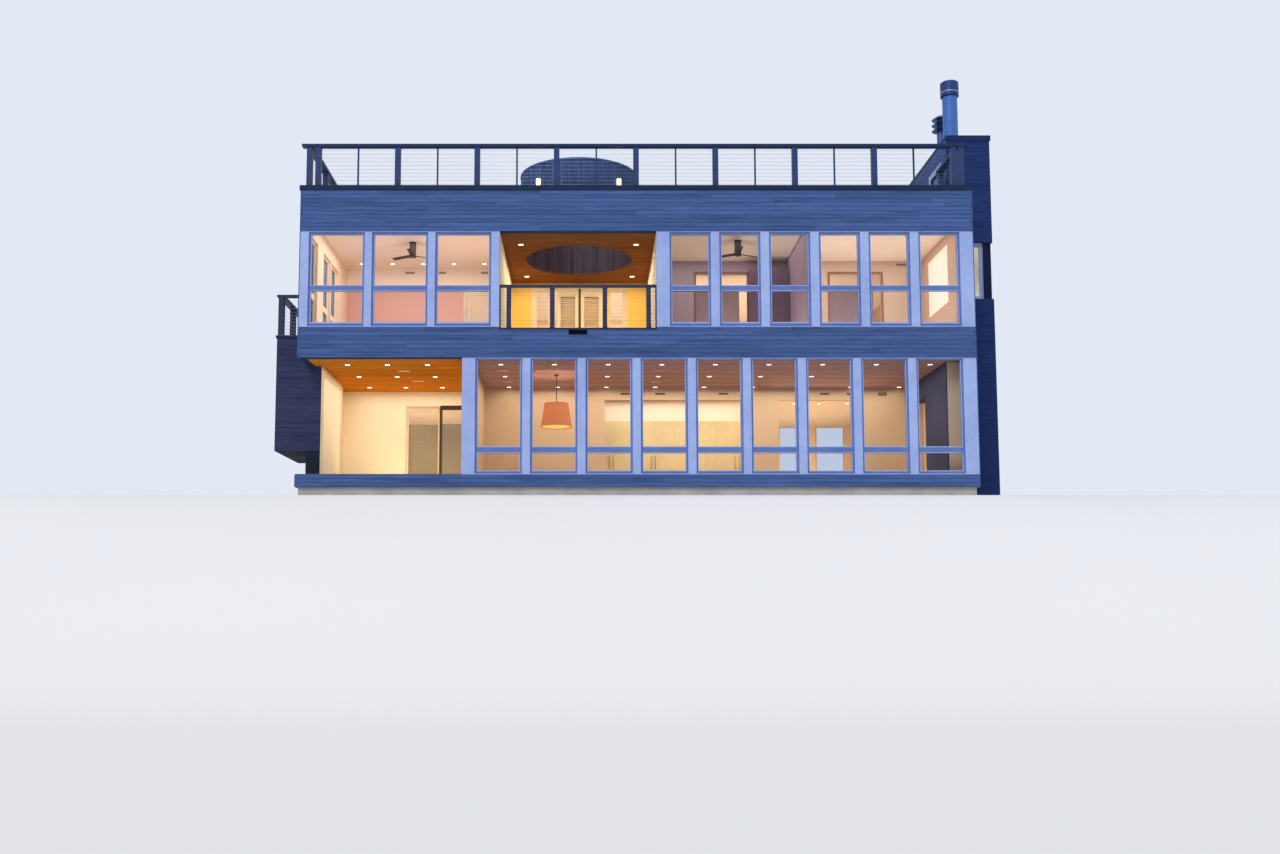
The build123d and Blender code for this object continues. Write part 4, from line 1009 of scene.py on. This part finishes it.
def drum():
    """Upright boards outside and inside the round roof light, with a cap ring."""
    boards, cap = 88, Shape()
    for name, radius, low, way in (("drum_boards", drum_outer, roof_top, 1),
                                   ("roof_light_boards", drum_inner, head_2, -1)):
        shape, half = Shape(), math.pi * radius / boards - 0.002
        for i in range(boards):
            turn = 2 * math.pi * i / boards
            outwards = Vector((math.cos(turn), math.sin(turn), 0))
            along = way * Vector((-outwards.y, outwards.x, 0))
            side = Side(Vector((drum_x, drum_y, 0)) + radius * outwards, along)
            shape.board(side, (-half, half), (low, drum_high.z - 0.03), (-0.01, 0.016), tone=draw.random())
        shape.finish(name, name, "grey_cladding")
    inner, outer, bevel, height = drum_inner - 0.03, drum_outer + 0.03, 0.005, 0.045
    profile = ((inner, 0), (inner, height - bevel), (inner + bevel, height), (outer - bevel, height),
               (outer, height - bevel), (outer, 0), (inner, 0))
    cap.lathe((drum_x, drum_y, drum_high.z - height), profile, boards)
    cap.finish("drum_cap", "cap_sheet", "galvanised_steel")


def floors():
    """Deck boards of the porch, the balcony, the wing and the roof."""
    shape, rows = Shape(), {"pitch": 0.14, "gap": 0.006, "lengths": (2.4, 4.8)}

    def on(height):
        return {"depth": (height, height + deck_board_t), **rows}

    clad(shape, up, (left, porch_right), (front, porch_rear), **on(floor_1))
    clad(shape, up, (balcony_x0, balcony_x1), (front + 0.1, balcony_rear), **on(floor_2))
    wing_y = (wing_low.y - 0.03, wing_high.y + 0.03)
    clad(shape, up, (wing_low.x - 0.03, left - board_t), wing_y, **on(wing_top))
    clad_round(shape, up, (left, right), (front, rear), (drum_x, drum_y, drum_outer + 0.02), **on(roof_top))
    shape.finish("deck_boards", "deck_boards_x", "deck_boards")


def ceilings():
    """Boarded ceilings of the porch and the balcony, the second round the hole of the roof light."""
    porch, balcony, ring = Shape(), Shape(), Shape()
    rows = {"pitch": 0.11, "gap": 0.003, "lengths": (2.4, 4.4)}
    on_porch = {"depth": (-ceiling_1, 0.01 - ceiling_1), **rows}
    clad(porch, down, (left + wall_t, porch_right), (-porch_rear, -front - wall_t), **on_porch)
    porch.finish("porch_ceiling_boards", "ceiling_boards", "ceiling_wood")
    on_balcony = {"depth": (-head_2, 0.01 - head_2), **rows}
    hole = (drum_x, -drum_y, drum_inner + 0.02)
    clad_round(balcony, down, (balcony_x0, balcony_x1), (-balcony_rear, -front - wall_t), hole, **on_balcony)
    balcony.finish("balcony_ceiling_boards", "balcony_ceiling_boards", "ceiling_wood")
    inner, outer = drum_inner - 0.018, drum_inner + 0.04
    profile = ((inner, 0.05), (inner, 0.0), (outer - 0.003, 0.0), (outer, 0.005), (outer, 0.016))
    ring.lathe((drum_x, drum_y, head_2 - 0.016), profile, 88)
    ring.finish("roof_light_ring", "balcony_ceiling_boards", "ceiling_wood")


def cables():
    """Steel cables of the guard rails, ten in a row, from end post to end post."""
    shape = Shape()
    roof, wing, balcony = (roof_top, 0.095), (wing_top, 0.088), (balcony_edge + 0.06, 0.09)
    start, end, left_x, right_x = front + 0.2, rear - 0.2, left + 0.1475, right - 0.1825
    wing_x, wing_inset = wing_low.x + 0.0675, 0.0675
    runs = [(roof, (left + end_trim, y), (right - end_trim, y)) for y in (front + 0.1875, rear - 0.1875)]
    runs += [(roof, (left_x, start), (left_x, end)), (roof, (right_x, start), (right_x, tower_low.y)),
             (roof, (right_x, tower_high.y), (right_x, end)),
             (wing, (wing_x, wing_low.y + 0.05), (wing_x, wing_high.y - 0.05)),
             (balcony, (balcony_x0, front + 0.06), (balcony_x1, front + 0.06))]
    runs += [(wing, (wing_low.x + 0.05, y), (left - 0.05, y))
             for y in (wing_low.y + wing_inset, wing_high.y - wing_inset)]
    for (base, pitch), first, last in runs:
        for z in (base + i * pitch for i in range(1, 11)):
            shape.rod((*first, z), (*last, z), 0.0025)
    shape.finish("rail_cables", "cable_steel", "galvanised_steel", smooth=True)


# Downlights: rows and columns of the living room's grid, and the places in it without a lamp
lower_rows = (front + 0.84, front + 2.40, front + 3.94)
lower_columns = [-3.516 + 1.327 * n for n in range(9)]
missing_lamps = {(1, 1), (1, 7), (1, 8), (2, 6)}


def downlights():
    """Downlights under the ceilings: each a thin turned rim and a glowing lens."""
    places = [(x, y, porch_ceiling) for y in lower_rows for x in (-7.31, -6.32, -5.33)]
    places += [(x, y, ceiling_1) for r, y in enumerate(lower_rows) for n, x in enumerate(lower_columns)
               if (r, n) not in missing_lamps]
    places += [(x, 1.0, ceiling_1) for x in (4.695, 5.42, 6.226)]
    balcony_rows = (front + 1.08, front + 4.06)
    places += [(x, y, head_2 - 0.01) for x in (drum_x - 1.45, drum_x + 1.45) for y in balcony_rows]
    places += [(-7.636 + 0.85 * n, front + 4.26, room_ceiling) for n in range(5)]
    rims, lenses, radius = Shape(), Shape(), 0.062
    rim = ((0.084, 0.0), (0.082, 0.006), (0.066, 0.008), (radius, 0.004), (radius, 0.0))
    for x, y, z in places:
        rims.lathe((x, y, z), rim, 20, (0, 0, -1))
        lenses.disc((x, y, z - 0.003), (0, 0, -1), radius, 20)
    rims.finish("downlight_rims", "trim_paint", "white_trim")
    lenses.finish("downlight_lenses", "lamp_lens", "lamp_glass")


for make in (bands, outer_walls, window_frames, dark_walls, fascia, porch_lining, balcony_doors, vents,
             ceiling_slots, balcony_posts, kitchen, porch_door_parts, linings, upper_right_rooms,
             left_room_door, flue_rings, pleated_shade, drum, floors, ceilings, cables, downlights):
    make()


def ground():
    """Floor: level round the house, and falling away in front, because the camera stands low."""
    fall, start, length, half, steps = 4.4, front - 0.4, 10.0, 600.0, 40
    rows = [(half, 0.0), (start, 0.0)]
    for share in (i / steps for i in range(1, steps + 1)):
        rows.append((start - share * length, -fall * share * share * (3 - 2 * share)))
    rows.append((-half, -fall))
    mesh = bpy.data.meshes.new("ground")
    mesh.from_pydata([(x, y, z) for y, z in rows for x in (-half, half)], [],
                     [(2 * i, 2 * i + 2, 2 * i + 3, 2 * i + 1) for i in range(len(rows) - 1)])
    mesh.polygons.foreach_set("use_smooth", [True] * len(mesh.polygons))
    paint = Paint("ground_paint", 0.95, shine=0.1)
    paint.shader.inputs["Base Color"].default_value = colour("e2e4e8")
    mesh.materials.append(paints["ground_paint"])
    made = placed("ground", mesh)


def world():
    """An even pale sky: seen by the camera, glass and metal at full strength, and a little lower as light."""
    made = bpy.data.worlds.new("sky")
    bpy.context.scene.world = made
    made.use_nodes = True
    made.node_tree.nodes.clear()
    graph = Graph(made.node_tree)
    path = graph.node("LightPath").outputs
    sees_sky = graph.math("MAXIMUM", path["Is Camera Ray"], path["Is Glossy Ray"])
    sees_sky = graph.math("MAXIMUM", sees_sky, path["Is Transmission Ray"])
    light = graph.node("Background", {"Color": colour("fafbff"), "Strength": 0.75})
    sky = graph.node("Background", {"Color": colour("e2e9f4")})
    both = graph.node("MixShader", {0: sees_sky, 1: light.outputs[0], 2: sky.outputs[0]})
    graph.node("OutputWorld", {"Surface": both.outputs[0]})


def new_light(name, kind, power, tint, place=(0, 0, 0)):
    data = bpy.data.lights.new(name, kind)
    data.energy = power
    data.color = tint
    made = placed(name, data)
    made.location = place
    return made


def sun():
    made = new_light("soft_sun", "SUN", 1.3, (1.0, 0.985, 0.96))
    made.data.angle = math.radians(25)
    made.rotation_euler = (math.radians(48), 0, math.radians(-28))


warm_light = (1.0, 0.86, 0.64)
soft_light = (1.0, 0.96, 0.9)
amber_light = (1.0, 0.8, 0.5)
pale_light = (1.0, 0.93, 0.8)


def room_light(name, x, y, z, power, tint=warm_light, upwards=False):
    """A soft lamp under a ceiling, or over a floor and upwards, that the camera doesn't see."""
    made = new_light(name, "AREA", power, tint, ((x[0] + x[1]) / 2, (y[0] + y[1]) / 2, z))
    made.data.shape = "RECTANGLE"
    made.data.size, made.data.size_y = x[1] - x[0], y[1] - y[0]
    made.rotation_euler = (math.pi if upwards else 0, 0, 0)
    made.visible_camera = made.visible_glossy = made.visible_transmission = False


def lights():
    """Lamps under the ceilings, and glows over the floors that stand for the light that comes back up."""
    lower_lamp, upper_lamp, balcony_lamp = (z - 0.06 for z in (ceiling_1, room_ceiling, head_2))
    lower_glow, upper_glow = floor_1 + 0.1, floor_2 + 0.1
    tower_lamp, tower_glow = 8.9, 4.6
    porch_x, porch_y, entry_y = (left + 0.6, porch_right - 0.3), (front + 0.5, porch_rear - 0.3), (0.0, 4.6)
    door_x, door_y = (left + 1.0, porch_right - 0.5), (porch_rear - 1.5, porch_rear - 0.5)
    living_x, living_y = (porch_right + 0.6, right - 0.8), (front + 0.3, front + 3.9)
    left_x, right_x = (left + 0.5, balcony_x0 - 0.5), (balcony_x1 + 0.5, right - 0.5)
    balcony_x, balcony_y = (balcony_x0 + 0.3, balcony_x1 - 0.3), (balcony_rear - 1.7, balcony_rear - 0.6)
    rooms_y, hall_x, pendant = (front + 0.5, front + 3.6), (4.0, 6.2), (-2.175, -3.4, 2.12)
    upper_hall_x, tower_x, tower_y = (balcony_x0, right - 1.0), (8.15, 8.9), (-3.0, 1.0)
    room_light("porch_light", porch_x, porch_y, lower_lamp, 66, pale_light)
    room_light("porch_glow", door_x, door_y, lower_glow, 26, amber_light, True)
    room_light("entry_light", porch_x, entry_y, lower_lamp, 60)
    room_light("entry_glow", porch_x, entry_y, lower_glow, 120, upwards=True)
    room_light("living_light", living_x, living_y, lower_lamp, 360)
    room_light("kitchen_light", (-1.2, 3.2), (-1.2, 0.1), lower_lamp, 62)
    room_light("hall_light", hall_x, (-1.2, 3.0), lower_lamp, 90)
    room_light("hall_glow", hall_x, (-1.0, 5.0), lower_glow, 130, upwards=True)
    room_light("left_room_light", left_x, rooms_y, upper_lamp, 130, soft_light)
    room_light("left_room_glow", left_x, rooms_y, upper_glow, 60, soft_light, True)
    room_light("right_room_light", right_x, rooms_y, upper_lamp, 100, soft_light)
    room_light("right_room_glow", (right_x[0] + 1.4, right_x[1]), rooms_y, upper_glow, 122, soft_light, True)
    room_light("balcony_light", balcony_x, balcony_y, balcony_lamp, 58, amber_light)
    wash_y = (front + 1.2, balcony_rear - 0.5)
    for x in (balcony_x0 + 0.4, balcony_x1 - 0.6):
        room_light("balcony_wash", (x, x + 0.2), wash_y, balcony_lamp, 17, pale_light)
    room_light("upper_hall_light", upper_hall_x, (0.0, 3.0), upper_lamp, 90)
    room_light("upper_hall_glow", upper_hall_x, (-1.0, 5.0), upper_glow, 340, upwards=True)
    room_light("landing_light", (-3.2, 0.0), (1.6, 4.8), upper_lamp, 220, pale_light)
    room_light("tower_light", tower_x, tower_y, tower_lamp, 110, pale_light)
    room_light("tower_glow", tower_x, tower_y, tower_glow, 70, pale_light, True)
    bulb = new_light("pendant_bulb", "POINT", 30, warm_light, pendant)
    bulb.data.shadow_soft_size = 0.06
    bulb.visible_camera = False


ground()
world()
sun()
lights()
